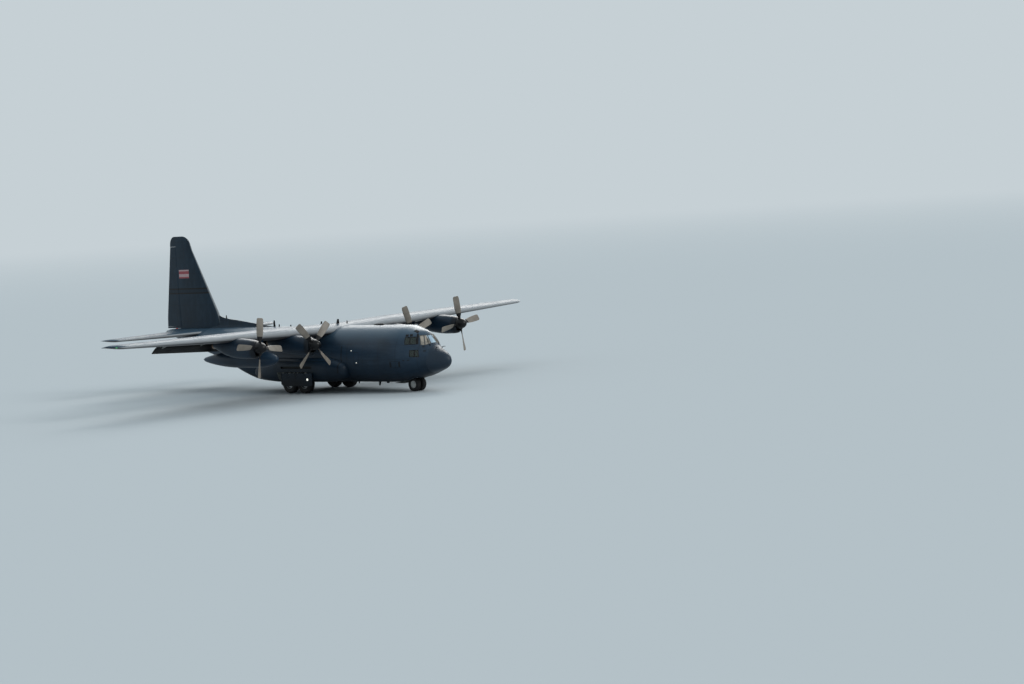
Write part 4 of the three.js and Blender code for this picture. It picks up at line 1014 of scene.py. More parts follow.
def build_fuselage():
    nose = carve(hull_solid(0, RADOME_JOINT - SEAT_GAP), block(*RADOME_HOLLOW))
    piece("radome", nose, RADOME_PAINT, replaces="nose_radome")

    s0, s1, z0, _ = CREW_DOOR
    door = side_box(*CREW_DOOR, 1, DOOR_INNER, 2 * RUN_GAP)
    sill = side_box(s0, s1, z0 - SILL_RELIEF, z0, 1, SILL_INNER, 2 * RUN_GAP)
    panes = [tool for _, _, tool, _ in pane_tools()]
    fuselage(
        "forward", hull_solid(RADOME_JOINT, FORWARD_JOINT - SEAT_GAP, size=0.12),
        [hollow(DECK), block(*NOSE_WELL), door, sill, *panes], CABIN_LINING,
        lambda s, y, z: between(s, *NOSE_WELL[:2], 0.01) & between(y, *NOSE_WELL[2:4], 0.01)
        & between(z, *NOSE_WELL[4:], 0.01),
        jack_pads(*JACK_PADS[0]))

    wells = [side_box(*MAIN_WELL, 0.0, 1.80, side, WELL_INNER) for side in BOTH]
    fuselage(
        "centre", hull_solid(FORWARD_JOINT, AFT_JOINT - SEAT_GAP), [*wells, saddle_box(*SADDLE)], HOLD_LINING,
        lambda s, y, z: between(s, *MAIN_WELL, 0.01) & (abs(y) > 1.6) & (z < 1.81),
        [*jack_pads(*JACK_PADS[1]), *[ramp_lug(y) for y in RAMP_LUGS]])

    opening = carve(prism(OPENING_OUTLINE, "y", -CLEAR, CLEAR), prism(OPENING_PLAN, "z", 0, 6), keep=True)
    troop = [side_box(*TROOP_DOOR, side, DOOR_INNER, SEAT_GAP) for side in BOTH]
    fuselage("aft", hull_solid(AFT_JOINT, LENGTH), [opening, saddle_box(*TAIL_SADDLE), *troop], HOLD_LINING)


def skin_of(s0, s1, inner, outer=0.0, size=0.1):
    """A stretch of the skin from inner to outer, measured outwards from the CAD's surface."""
    return carve(hull_solid(s0, s1, outer, size), hull_solid(s0 - 0.05, s1 + 0.05, inner, size))


def grown(outline, amount):
    """A convex outline with each edge moved out by the amount."""
    points = np.asarray(outline, float)
    ahead = np.roll(points, -1, 0) - points
    normals = np.stack([ahead[:, 1], -ahead[:, 0]], 1) / np.linalg.norm(ahead, axis=1)[:, None]
    if ((points - points.mean(0)) * normals).sum() < 0:
        normals = -normals
    pairs = [np.array([normals[i - 1], normals[i]]) for i in range(len(points))]
    return [np.linalg.solve(pair, pair @ point + amount) for pair, point in zip(pairs, points)]


def pane_tools(grow=0.0):
    """Every pane on both sides: its window, the axis it is seen along, its cutting solid and its frame's."""
    found = []
    for window, axis, depth, corners in PANES:
        outlines = [grown(corners, amount) for amount in (grow, FRAME_WIDTH[axis])]
        for name, side in SIDES[:1] if corners[0][0] < 0 else SIDES:
            tools = [prism(outline, axis, *depth).mirrored(side) for outline in outlines]
            found.append((window if window == "windshield" else f"{window}_{name}", axis, *tools))
    return found


def build_windows():
    layer = skin_of(1.33, 3.10, -GLASS_DEPTH, -0.010, 0.06)
    panes = {}
    for window, _, tool, _ in pane_tools(PANE_GAP):
        panes.setdefault(window, []).append(carve(layer, tool, keep=True))
    for window, found in panes.items():
        glass = SKY_REFLECTION_GLASS if window == "windshield" else GLASS
        piece(window + "_glass", joined(*found), glass, replaces=window, angle=50)

    layer = skin_of(1.32, 3.12, -0.055, 0.011, 0.06)
    bars = []
    for _, axis, tool, frame_tool in pane_tools(-PANE_GAP):
        rim = carve(carve(layer, frame_tool, keep=True), tool)
        bars.append(rim.looked(1 if axis == "s" else 0))
    piece("window_frames", joined(*bars), [TRIM_BLACK, WINDOW_METAL], angle=40)

    layer = skin_of(1.80, 3.12, -0.03, 0.008, 0.06)
    blinds = [
        carve(layer, prism(outline, axis, *depth).mirrored(side), keep=True)
        for axis, depth, outline in BLINDS for side in BOTH
    ]
    piece("window_blinds", joined(*blinds), TRIM_BLACK, angle=40)


def hull_front(y, z):
    """The station where the nose's skin meets a line drawn aft at this width and height."""
    low, high = 0.0, 3.5
    for _ in range(24):
        middle = (low + high) / 2
        low, high = (low, middle) if hull_depth(middle, y, z)[0] < 1 else (middle, high)
    return high


WIPER_ARM = [(0.44, 3.26), (0.47, 3.34), (0.40, 3.52), (0.33, 3.70)]
WIPER_BLADE = [(0.50, 3.44), (0.42, 3.60), (0.33, 3.80)]
WIPER_FOOT = [(0, -0.05), (0.03, -0.05), (0.035, 0.04), (0, 0.04)]


def build_wipers():
    parts = []
    for side in BOTH:
        for path, off, radius in (
                (WIPER_ARM, 0.03, [0.016, 0.014, 0.012, 0.008]), (WIPER_BLADE, 0.018, 0.010)):
            parts.append(tube([(hull_front(y, z) - off, side * y, z) for y, z in path], radius, 8))
        parts.append(lathe(WIPER_FOOT, "s", (hull_front(0.44, 3.24), side * 0.44, 3.25), 16))
    piece("windshield_wipers", joined(*parts), TRIM_BLACK)


# Doors and the ramp

def door_panel(s0, s1, z0, z1, side, depth=0.11):
    shell = skin_of(s0 - 0.1, s1 + 0.1, -depth)
    return inside_marked(carve(shell, side_box(s0, s1, z0, z1, side, 1.45), keep=True))


def build_doors():
    s0, s1, _, _ = CREW_DOOR
    treads = []
    for z in (1.35, 1.65, 1.95, 2.25):
        edge = hull_half(4.6, z)
        treads.append(block(s0 + 0.12, s1 - 0.12, edge - 0.30, edge - 0.10, z, z + 0.03, 2))
    door = joined(door_panel(*CREW_DOOR, 1, 0.07), treads)
    piece("crew_door_panel", door, [HULL_PAINT, CABIN_PAINT, FLOOR_METAL], "crew_door", replaces="crew_door")
    for name, side in SIDES:
        piece(f"troop_door_panel_{name}", door_panel(*TROOP_DOOR, side), [HULL_PAINT, HOLD_LINING],
              replaces=f"troop_door_{name}")


def build_ramp():
    s, z = RAMP_HINGE
    half = LUG_HALF + RUN_GAP
    body = carve(hull_solid(17.2, 20.5, size=0.2), prism(RAMP_OUTLINE, "y", -RAMP_HALF, RAMP_HALF), keep=True)
    notches = [bar(s - 0.2, s + LUG_RADIUS + RUN_GAP, y, half, 0, 3) for y in RAMP_LUGS]
    pins = [tube([(s, y - half - 0.04, z), (s, y + half + 0.04, z)], 0.018, 16, 2) for y in RAMP_LUGS]
    rails = [prism(RAMP_RAIL, "y", y - 0.03, y + 0.03, 2) for y in (-1.1, -0.4, 0.4, 1.1)]
    ramp = joined(inside_marked(carve(body, *notches)), pins, rails)
    piece("ramp_body", ramp, [HULL_PAINT, FLOOR_METAL, STEEL], "ramp", replaces="ramp")


def build_cargo_door():
    s, z = CARGO_HINGE
    body = carve(
        hull_solid(20.1, 24.8, size=0.2), prism(CARGO_OUTLINE, "y", -RAMP_HALF, RAMP_HALF),
        prism(CARGO_PLAN, "z", 0, 6), keep=True)
    hinges = [tube([(s, side * 1.12, z), (s, side * 1.25, z)], 0.016, 12, 1) for side in BOTH]
    piece("cargo_door_body", joined(inside_marked(body), hinges), [HULL_PAINT, HOLD_LINING], "cargo_door",
          replaces="cargo_door")


# Wing, tailplane and fin sections

FOIL = "span le chord depth camber base drop"
TAN_DIHEDRAL = math.tan(math.radians(1.6))
WING_Z = 4.33
TIP_START = 19.40
WING = table(
    FOIL,
    (0, WING_EDGE, WING_CHORD, 0.878, 0.080, WING_Z, 0.256),
    (WING_JOINT, WING_EDGE, WING_CHORD, 0.854, 0.080, WING_Z + WING_JOINT * TAN_DIHEDRAL, 0.256),
    (19.50, 10.74, 2.56, 0.312, 0.043, WING_Z + 19.50 * TAN_DIHEDRAL, 0.023),
)
STABILISER = table(
    FOIL,
    (0, 24.565, 4.25, 0.510, 0, 4.37, 0),
    (0.70, 24.600, 4.20, 0.504, 0, 4.37, 0),
    (7.65, 26.035, 2.15, 0.236, 0, 4.37, 0),
)
FIN_ROOT = 4.6708
FIN = table(
    FOIL,
    (FIN_ROOT, 23.33, 6.29, 0.629, 0, 0, 0),
    (5.53, 23.53, 6.02, 0.602, 0, 0, 0),
    (10.95, 26.40, 2.29, 0.229, 0, 0, 0),
)
# Rounded ends: where they start and end, and how far the leading and trailing edges run in there
WING_TIP = (TIP_START, SPAN / 2, 1.40, 0.90)
STABILISER_TIP = (7.65, 8.02, 0.42, 0.30)
FIN_TIP = (11.15, 11.655, 0.60, 0.42)
# Moving surfaces: the section rows, their tip, the surface's ends and its hinge's share of the chord
AILERON = (WING, WING_TIP, (14.50, 19.36), 0.77)
ELEVATOR = (STABILISER, STABILISER_TIP, (0.90, 7.25), 0.70)
RUDDER = (FIN, FIN_TIP, (4.80, 10.88), 0.72)
FOIL_STEPS = 26
NOSE_STEPS = 12
CONTROL_STEPS = 8


def foil_rows(rows, tip, spans):
    """Sections at places along the span, with the tip rounded off in plan and in depth."""
    start, end, front, back = tip
    found = each(straight(rows, "span", np.minimum(spans, start)))
    for row, span in zip(found, spans):
        beyond = max(0.0, span - start)
        for name in ("le", "chord", "base"):
            slope = (rows[name][-1] - rows[name][-2]) / (rows["span"][-1] - rows["span"][-2])
            row[name] += slope * beyond
        fullness = math.sqrt(max(0.0, 1 - (beyond / (end - start)) ** 2))
        row["le"] += front * (1 - fullness)
        row["chord"] = max(0.2, row["chord"] - (front + back) * (1 - fullness))
        row["depth"] *= max(0.04, fullness)
        row["span"] = span
    return found


def spans_of(a, b, tip, size=0.6):
    """Places from a out to the very tip at b, closer together where the tip rounds off."""
    start = tip[0]
    outer = start + (b - start) * np.sin(np.linspace(0, 0.5, 9) * math.pi)
    return np.concatenate([steps(a, start, size), outer[1:]])


def foil_at(row, u):
    """Half depth and camber at a share of the chord."""
    shape = 0.2969 * np.sqrt(u) - 0.126 * u - 0.3516 * u ** 2 + 0.2843 * u ** 3 - 0.1016 * u ** 4
    return 5 * row["depth"] * shape, 4 * row["camber"] * u * (1 - u)


def foil_point(row, u, v):
    return row["le"] + u * row["chord"], row["base"] + v - (u - 0.25) * row["drop"]


def foil_ring(row, count=FOIL_STEPS):
    ring = []
    for i in range(count, -count - 1, -1):
        u = (1 - math.cos(math.pi * abs(i) / count)) / 2
        half, camber = foil_at(row, u)
        ring.append(foil_point(row, u, camber + np.sign(i) * half))
    return ring


def plain_foil(le, chord, depth, count, camber=0):
    """The ring of a small section by itself."""
    row = {"le": le, "chord": chord, "depth": depth, "camber": camber, "base": 0, "drop": 0}
    return foil_ring(row, count)


def across(side):
    return lambda span, ring: [(s, side * span, z) for s, z in ring]


def upright(span, ring):
    return [(s, y, span) for s, y in ring]


def spread(rows, lay, ring=foil_ring, look=0):
    """A solid through the ring that each row of sections gives."""
    return loft([lay(row["span"], ring(row)) for row in rows], look)


def nose_arc(row, u, grow):
    """The round nose of a moving surface, about its hinge."""
    half, camber = foil_at(row, u)
    s, z = foil_point(row, u, camber)
    angles = math.pi * (0.5 + np.arange(NOSE_STEPS + 1) / NOSE_STEPS)
    return [(s + (half + grow) * math.cos(a), z + (half + grow) * math.sin(a)) for a in angles], s, z, half


def control_ring(row, u):
    """A round nose at the hinge and the section's own lines behind it."""
    low, high = [], []
    for part in np.linspace(u, 1, CONTROL_STEPS + 1)[1:]:
        half, camber = foil_at(row, part)
        low.append(foil_point(row, part, camber - half))
        high.append(foil_point(row, part, camber + half))
    return [*nose_arc(row, u, 0)[0], *low, *reversed(high)]


def control_room(row, u):
    arc, s, z, radius = nose_arc(row, u, RUN_GAP)
    front = s - 0.4 * radius
    arc = [point for point in arc if point[0] < front]
    return [(front, z + DEEP), *arc, (front, z - DEEP), (s + FAR, z - DEEP), (s + FAR, z + DEEP)]


def control(rows, tip, ends, u, lay):
    return spread(foil_rows(rows, tip, steps(*ends, 0.8)), lay, lambda row: control_ring(row, u))


def control_cut(rows, tip, ends, u, lay):
    spans = np.array([ends[0] - RUN_GAP, ends[1] + RUN_GAP])
    return spread(foil_rows(rows, tip, spans), lay, lambda row: control_room(row, u))


# Wing

FLAP_ROOT = 2.30
FLAP_END = 14.30
FLAP_CHORD = 0.27
FLAP_ANGLE = math.radians(33)
FLAP_FRONT = (-0.06, -0.19)
FLAPS = [
    # name, from, to, the arms' places
    ("inboard", FLAP_ROOT, WING_JOINT - RUN_GAP, (3.0, 5.3)),
    ("outboard", WING_JOINT + RUN_GAP, FLAP_END, (6.3, 9.9, 13.8)),
]
ARM_HALF = 0.045
COVE = 0.74
SHROUD = 0.10
CROWN_HALF = 1.9


def wing_rows(spans):
    return foil_rows(WING, WING_TIP, np.array(spans))


def cove_wall(row):
    """The upper end of the rear spar's face, and the section's depth there."""
    half, camber = foil_at(row, COVE)
    s, z = foil_point(row, COVE, camber + half)
    return s, z, 2 * half


def cove_ring(row):
    s, top, _ = cove_wall(row)
    end_s, end_z = foil_point(row, 1, 0)
    roof, edge = top - SHROUD, end_z - 0.025
    far = end_s + 0.6
    tip = roof + (edge - roof) / (end_s - s) * (far - s)
    return [(s, roof), (far, tip), (far, edge - DEEP), (s, edge - DEEP)]


def cove(a, b, side):
    return spread(wing_rows([a, b]), across(side), cove_ring)


def cove_marked(shape):
    """Faces behind the rear spar and under the shroud take the cove's finish."""
    looks = []
    for s, y, z in shape.centres().T:
        [row] = each(straight(WING, "span", min(abs(y), TIP_START)))
        u = min(1.0, max(0.0, (s - row["le"]) / row["chord"]))
        half, camber = foil_at(row, u)
        top = foil_point(row, u, camber + half)[1]
        wall = cove_wall(row)[0]
        looks.append(s > wall - 0.02 and z < top - 0.012 and FLAP_ROOT - 0.02 < abs(y) < FLAP_END + 0.02)
    return shape.looked(looks)


def build_wing():
    spans = steps(-WING_JOINT, WING_JOINT, 0.6)
    middle = loft([across(1)(span, foil_ring(row)) for span, row in zip(spans, wing_rows(abs(spans)))])
    coves = [cove(FLAP_ROOT - RUN_GAP, WING_JOINT + 0.1, side) for side in BOTH]
    crown = saddle_crown(SADDLE, 0.3, CROWN_HALF)
    piece("wing_centre_skin", joined(cove_marked(carve(middle, *coves)), crown), [WING_PAINT, WELL_PAINT],
          replaces="wing_centre")
    for name, side in SIDES:
        whole = spread(wing_rows(spans_of(WING_JOINT + SEAT_GAP, SPAN / 2, WING_TIP)), across(side))
        room = control_cut(*AILERON, across(side))
        wing = carve(whole, cove(WING_JOINT - 0.1, FLAP_END + RUN_GAP, side), room)
        piece(f"wing_skin_{name}", cove_marked(wing), [WING_PAINT, WELL_PAINT], replaces=f"wing_outer_{name}")
        piece(f"aileron_skin_{name}", control(*AILERON, across(side)), WING_PAINT, f"aileron_{name}",
              replaces=f"aileron_{name}")


def flap_front(row):
    s, z = foil_point(row, 1, 0)
    return s + FLAP_FRONT[0], z + FLAP_FRONT[1]


def flap_ring(row):
    s, z = flap_front(row)
    chord = FLAP_CHORD * row["chord"]
    c, d = math.cos(FLAP_ANGLE), math.sin(FLAP_ANGLE)
    section = plain_foil(0, chord, 0.15 * chord, 14, 0.02 * chord)
    return [(s + u * c + v * d, z - u * d + v * c) for u, v in section]


def flap_arm(row):
    wall, top, depth = cove_wall(row)
    wall += SEAT_GAP
    s, z = flap_front(row)
    return [
        (wall, top - 0.16), (wall, top - depth + 0.04), (s + 0.16, z - 0.172), (s + 0.19, z - 0.11),
        (s - 0.06, z - 0.01),
    ]


def build_flaps():
    for name, side in SIDES:
        for part, a, b, arms in FLAPS:
            skin = spread(wing_rows(steps(a, b, 0.7)), across(side), flap_ring)
            carriers = [
                spread(wing_rows([span - ARM_HALF, span + ARM_HALF]), across(side), flap_arm, 1)
                for span in arms
            ]
            piece(f"flap_{part}_skin_{name}", joined(skin, carriers), [FLAP_SHADOW_PAINT, WELL_PAINT],
                  replaces=f"flap_{part}_{name}")


# Tail

DORSAL = table(
    "s top half foot",
    (17.60, 4.675, 0.010, 0.05),
    (18.64, 4.79, 0.035, 0.14),
    (21.36, 5.16, 0.060, 0.24),
    (22.99, 5.38, 0.075, 0.32),
    (23.90, 5.75, 0.085, 0.38),
    (24.20, 6.10, 0.100, 0.42),
)


def dorsal():
    """The long fillet ahead of the fin, flared at its foot."""
    rings = []
    for row in each(smooth(DORSAL, "s", steps(17.60, 24.20, 0.2))):
        wide, half = row["foot"], row["half"]
        foot = hull_top(row["s"], wide) - 0.02
        high = row["top"] - foot
        side = [
            (wide, 0), (wide * 0.55 + half * 0.45, 0.10), (half * 1.4, 0.32), (half, 0.7), (half * 0.8, 0.93),
            (half * 0.35, 1),
        ]
        rings.append(both_halves(row["s"], [(y, foot + share * high) for y, share in side]))
    return loft(rings)


def build_tail():
    crown = saddle_crown(TAIL_SADDLE, 0.2)
    halves = []
    for name, side in SIDES:
        lay = across(side)
        room = control_cut(*ELEVATOR, lay)
        rows = foil_rows(STABILISER, STABILISER_TIP, spans_of(0, STABILISER_TIP[1], STABILISER_TIP))
        halves.append(carve(spread(rows, lay), room))
        crown = carve(crown, room)
        piece(f"elevator_skin_{name}", control(*ELEVATOR, lay), WING_PAINT, "elevators",
              replaces=f"elevator_{name}")
    piece("tailplane_skin", joined(halves, crown), WING_PAINT, replaces="tailplane")

    rows = foil_rows(FIN, FIN_TIP, spans_of(FIN_ROOT, FIN_TIP[1], FIN_TIP))
    fin = carve(spread(rows, upright), control_cut(*RUDDER, upright))
    piece("fin_skin", joined(fin, dorsal()), FIN_PAINT, replaces="fin")
    piece("rudder_skin", control(*RUDDER, upright), FIN_PAINT, "rudder", replaces="rudder")


# Engines

ENGINES = [
    # number, y, z, rest turn in degrees
    (1, OUTER_ENGINE[0], OUTER_ENGINE[1], 9),
    (2, INNER_ENGINE[0], INNER_ENGINE[1], 20),
    (3, -INNER_ENGINE[0], INNER_ENGINE[1], 45),
    (4, -OUTER_ENGINE[0], OUTER_ENGINE[1], -6),
]
PROP_S = 8.30
NACELLE = table(
    "s half top bottom square",
    (8.47, 0.43, 0.40, 0.56, 2.2),
    (8.60, 0.50, 0.48, 0.69, 2.3),
    (8.90, 0.56, 0.56, 0.73, 2.4),
    (9.60, 0.60, 0.64, 0.74, 2.5),
    (10.80, 0.61, 0.70, 0.64, 2.6),
    (11.50, 0.59, 0.65, 0.47, 2.6),
    (12.10, 0.52, 0.58, 0.22, 2.5),
    (12.70, 0.40, 0.50, -0.02, 2.4),
)
NACELLE_LIP = (8.47, 8.50, 8.54, 8.60, 8.68, 8.78)
# The intake under the propeller: how far down, half width, half height, front and back
MOUTH_DROP = 0.40
MOUTH_HALF = (0.30, 0.135)
MOUTH_ENDS = (8.2, 9.1)
LIP_S = 8.475
EXHAUST_PIPE = [
    (0, 12.45), (0.19, 12.45), (0.215, 12.45), (0.215, 12.98), (0.20, 12.99), (0.18, 12.98), (0.17, 12.52),
    (0, 12.52),
]


def nacelle_body(y, z):
    rings = []
    for row in each(smooth(NACELLE, "s", [*NACELLE_LIP, *steps(8.9, 12.6, 0.16)])):
        centre, reach = (row["top"] - row["bottom"]) / 2, (row["top"] + row["bottom"]) / 2
        ring = rounded(row["half"], reach, row["square"], 64)
        rings.append([(row["s"], y + a, z + centre + b) for a, b in ring])
    return loft(rings)


def build_nacelles():
    wide, high = MOUTH_HALF
    for number, y, z, _ in ENGINES:
        low = z - MOUTH_DROP
        mouth = [(y + a, low + b) for a, b in rounded(wide, high, 3.2, 32)]
        cut = carve(nacelle_body(y, z), prism(mouth, "s", *MOUTH_ENDS))
        s, off, up = cut.centres()
        inner = (abs(off - y) < wide + 0.005) & (abs(up - low) < high + 0.002) & (LIP_S < s) & (s < 9.11)
        lip = tube([(LIP_S, a, b) for a, b in [*mouth, mouth[0]]], 0.018, 8)
        # The intake's inner faces are near black, as painted shade
        piece(f"nacelle_cowl_{number}", joined(cut.looked(inner), lip), [NACELLE_PAINT, DUCT_AND_SHADE_BLACK],
              replaces=f"nacelle_{number}")
        pipe = lathe(EXHAUST_PIPE, "s", (0, y, z + 0.17), 40)
        piece(f"exhaust_{number}", pipe, EXHAUST)


BLADE = table(
    "r chord thick twist",
    (0.23, 0.17, 0.150, 60),
    (0.43, 0.19, 0.130, 56),
    (0.70, 0.36, 0.080, 46),
    (1.25, 0.47, 0.050, 34),
    (1.80, 0.48, 0.034, 25),
    (1.99, 0.45, 0.028, 22),
    (2.055, 0.33, 0.020, 21),
)
BLADE_ENDS = (1.95, 1.99, 2.02, 2.04, 2.055)
BLADE_POINTS = 20
CUFF_END = 0.78
COLLAR = [(0.0, 0.30), (0.115, 0.30), (0.12, 0.40), (0.10, 0.425), (0.0, 0.43)]
SPINNER_RADIUS = 0.39
SPINNER_LENGTH = 0.56
SPINNER_BACK = [(0.392, 0.02), (0.392, 0.07), (0.385, 0.075), (0.39, 0.08), (0.39, 0.15), (0, 0.15)]


def blade():
    """One blade pointing up, with a dark cuff at its root."""
    c, d = circle(BLADE_POINTS)
    rings = []
    for row in each(smooth(BLADE, "r", [*steps(0.23, 1.9, 0.07), *BLADE_ENDS])):
        width = -0.5 * row["chord"] * c
        depth = 0.5 * row["thick"] * d * (1 + 0.25 * c)
        twist = math.radians(row["twist"])
        forward = width * math.sin(twist) + depth * math.cos(twist)
        sideways = width * math.cos(twist) - depth * math.sin(twist)
        rings.append(np.stack([-forward, sideways, np.full(BLADE_POINTS, row["r"])], 1))
    shape = loft(rings)
    return shape.looked(shape.centres()[2] < CUFF_END)


def build_propellers():
    dome = [
        (SPINNER_RADIUS * math.sqrt(max(0.0, 1 - (d / SPINNER_LENGTH) ** 2)), -d)
        for d in np.linspace(SPINNER_LENGTH, 0.0, 18)
    ]
    collar = lathe(COLLAR, "z", sides=20, look=1)
    for number, y, z, rest in ENGINES:
        centre = (PROP_S, y, z)
        turns = [math.radians(step + rest) for step in (0, 90, 180, 270)]
        blades = [part.rolled(turn).moved(*centre) for part in (blade(), collar) for turn in turns]
        spinner = lathe(dome + SPINNER_BACK, "s", centre, 48, 2)
        shaft = rod(0.11, 0.14, 0.40, "s", centre, 24, 1)
        piece(f"propeller_blades_{number}", joined(blades, spinner, shaft),
              [BLADE_PAINT, BLADE_CUFF, SPINNER_PAINT], f"propeller_{number}",
              f"propeller_{number}", angle=40)


# Tanks and pods

TANK_Y = 7.63
TANK_Z = 2.95
TANK_START = 9.21
TANK = table(
    "d r",
    (0, 0.0), (0.09, 0.17), (0.33, 0.33), (0.80, 0.47), (1.50, 0.56), (2.10, 0.575), (4.20, 0.575),
    (5.20, 0.52), (6.20, 0.40), (7.20, 0.22), (7.70, 0.06), (7.76, 0.0),
)
TANK_LENGTH = 7.76
# The pylon's foot, top and slope, and its straight trailing edge
PYLON_Z = (3.25, 4.70)
PYLON_FRONT = ([3.25, 5.2], [10.9, 10.3])
PYLON_BACK = 13.5


def build_tanks():
    distances = [*np.linspace(0, math.sqrt(2.1), 20) ** 2, *steps(2.4, TANK_LENGTH, 0.25)]
    profile = [(row["r"], row["d"]) for row in each(smooth(TANK, "d", distances, 0.5))]
    profile = [(0.0, 0.0), *profile[1:-1], (0.0, TANK_LENGTH)]
    for name, side in SIDES:
        rings = []
        for z in steps(*PYLON_Z, 0.15):
            front = np.interp(z, *PYLON_FRONT)
            ring = plain_foil(front, PYLON_BACK - front, 0.22, 16)
            rings.append([(s, side * TANK_Y + y, z) for s, y in ring])
        body = lathe(profile, "s", (TANK_START, side * TANK_Y, TANK_Z), 56)
        piece(f"tank_shell_{name}", joined(body, loft(rings)), TANK_PAINT, replaces=f"tank_{name}")


POD = table(
    "s outer top bottom",
    (8.06, 2.06, 1.76, 1.46),
    (8.18, 2.40, 2.08, 1.13),
    (8.45, 2.56, 2.26, 0.98),
    (8.86, 2.62, 2.38, 0.90),
    (9.86, 2.72, 2.60, 0.78),
    (14.90, 2.72, 2.60, 0.76),
    (16.20, 2.62, 2.45, 0.83),
    (17.10, 2.40, 2.15, 0.98),
    (17.60, 2.23, 1.85, 1.20),
    (17.80, 2.00, 1.70, 1.35),
)
POD_INNER = 1.30
POD_POWER = 0.62
POD_STEPS = 40
# The slot above the gear doors, whose faces are near black as painted shade
RECESS_S = (11.15, 14.30)
RECESS_Z = (1.80, 1.97)


def pod_solid(side):
    angles = math.pi * (0.5 - np.arange(POD_STEPS + 1) / POD_STEPS)
    c, d = np.maximum(0.0, np.cos(angles)), np.sin(angles)
    rings = []
    for row in each(smooth(POD, "s", [*(8.06 + 1.8 * np.linspace(0, 1, 16) ** 2), *steps(10.0, 17.80, 0.2)])):
        middle, reach = (row["top"] + row["bottom"]) / 2, (row["top"] - row["bottom"]) / 2
        y = side * (POD_INNER + (row["outer"] - POD_INNER) * c ** POD_POWER)
        rings.append(np.stack([np.full(len(c), row["s"]), y, middle + reach * signed_power(d, POD_POWER)], 1))
    return loft(rings)


def build_pods():
    for name, side in SIDES:
        well = side_box(*MAIN_WELL, 0.0, 1.55, side, WELL_INNER)
        recess = side_box(*RECESS_S, *RECESS_Z, side, 2.62)
        body = carve(pod_solid(side), hull_solid(7.5, 18.0, -0.01), well, recess)
        s, y, z = body.centres()
        in_well = between(s, *MAIN_WELL, 0.005) & (z < 1.555) & (abs(y) < 2.70)
        in_shaded_recess = between(s, *RECESS_S, 0.005) & between(z, *RECESS_Z, 0.005) & (abs(y) < 2.715)
        # The slot's faces are near black, as painted shade
        looks = np.where(in_shaded_recess, 2, np.where(in_well, 1, 0))
        piece(f"gear_pod_shell_{name}", body.looked(looks), [HULL_PAINT, WELL_PAINT, DUCT_AND_SHADE_BLACK],
              replaces=f"gear_pod_{name}")


# Landing gear

NOSE_GEAR = (3.33, 0.495, 0.28, 0.33)
MAIN_GEAR = (13.10, 0.71, 2.175, 0.50)
MAIN_OFFSET = 0.775
LEG_Y = 1.79
RIM = 0.52
# Half a tyre: where from, how far out from there as a share of the wall's half, share of the half width
SHOULDER = [
    ("rim", 0, 0.66), ("rim", 0.1, 0.84), ("middle", -0.2, 0.97), ("middle", 0.2, 1.0),
    ("middle", 0.62, 0.93), ("middle", 0.86, 0.80), ("tread", -0.03, 0.62),
]
# The grooves' places across the tread, and round each one how far in and how far from its place
GROOVES = (0.45, 0.15)
GROOVE = [(-0.01, 0.045), (-0.075, 0.03), (-0.075, -0.03), (-0.004, -0.045)]
# The wheel's outer and inner face: share of the rim's radius, added to it, share of the half width
HUB_FACE = [
    (1, 0.004, 0.66), (1, 0, 0.80), (1, -0.03, 0.80), (1, -0.045, 0.55), (0.80, 0, 0.30), (0.52, 0, 0.26),
    (0.44, 0, 0.50), (0.20, 0, 0.56), (0, 0, 0.56),
]
HUB_BACK = [
    (1, 0.004, -0.66), (1, 0, -0.80), (1, -0.03, -0.80), (1, -0.045, -0.55), (0.80, 0, -0.34),
    (0.52, 0, -0.30),
]
NUT = [(0, 0.27), (0.022, 0.27), (0.022, 0.335), (0.012, 0.35), (0, 0.35)]
WHEEL_FINISHES = [RUBBER, STEEL, DUCT_AND_SHADE_BLACK, CHROME]


def wheel(radius, width, outer, bolts, bore):
    """Tyre, rim and hub centred on the origin. outer is the side that faces out."""
    half, rim = width / 2, RIM * radius
    reach = (radius - rim) / 2
    level = {"rim": rim, "middle": (radius + rim) / 2, "tread": radius}
    side = [(level[name] + share * reach, across * half) for name, share, across in SHOULDER]
    side += [(radius + deep * reach, (groove + off) * half) for groove in GROOVES for deep, off in GROOVE]
    tyre = [*side, *[(r, -w) for r, w in reversed(side)], (rim, 0.66 * half)]

    def turned(profile, sides, look):
        return lathe([(r, outer * w * half) for r, w in profile], "y", sides=sides, look=look)

    face, back = [[(share * rim + more, w) for share, more, w in rows] for rows in (HUB_FACE, HUB_BACK)]
    bearing = [(bore, -0.30), (bore, 0.24), (0, 0.24)]
    parts = [lathe(tyre, "y", sides=72), turned(face, 56, 1), turned(back + bearing, 56, 2)]
    for c, d in zip(*circle(bolts)):
        parts.append(turned(NUT, 6, 3).moved(0.66 * rim * c, 0, 0.66 * rim * d))
    return joined(parts)


def torque_link(s, y, low, high, reach):
    """Two hinged plates behind a strut."""
    knee = (low + high) / 2
    back, root = s + reach, s + reach * 0.3
    plates = []
    for z in (low, high):
        outline = [(root, z - 0.035), (root, z + 0.035), (back, knee + 0.025), (back, knee - 0.025)]
        plates += [prism(outline, "y", y + at - 0.012, y + at + 0.012) for at in (-0.04, 0.04)]
    return joined(plates, tube([(back, y - 0.07, knee), (back, y + 0.07, knee)], 0.02, 12))


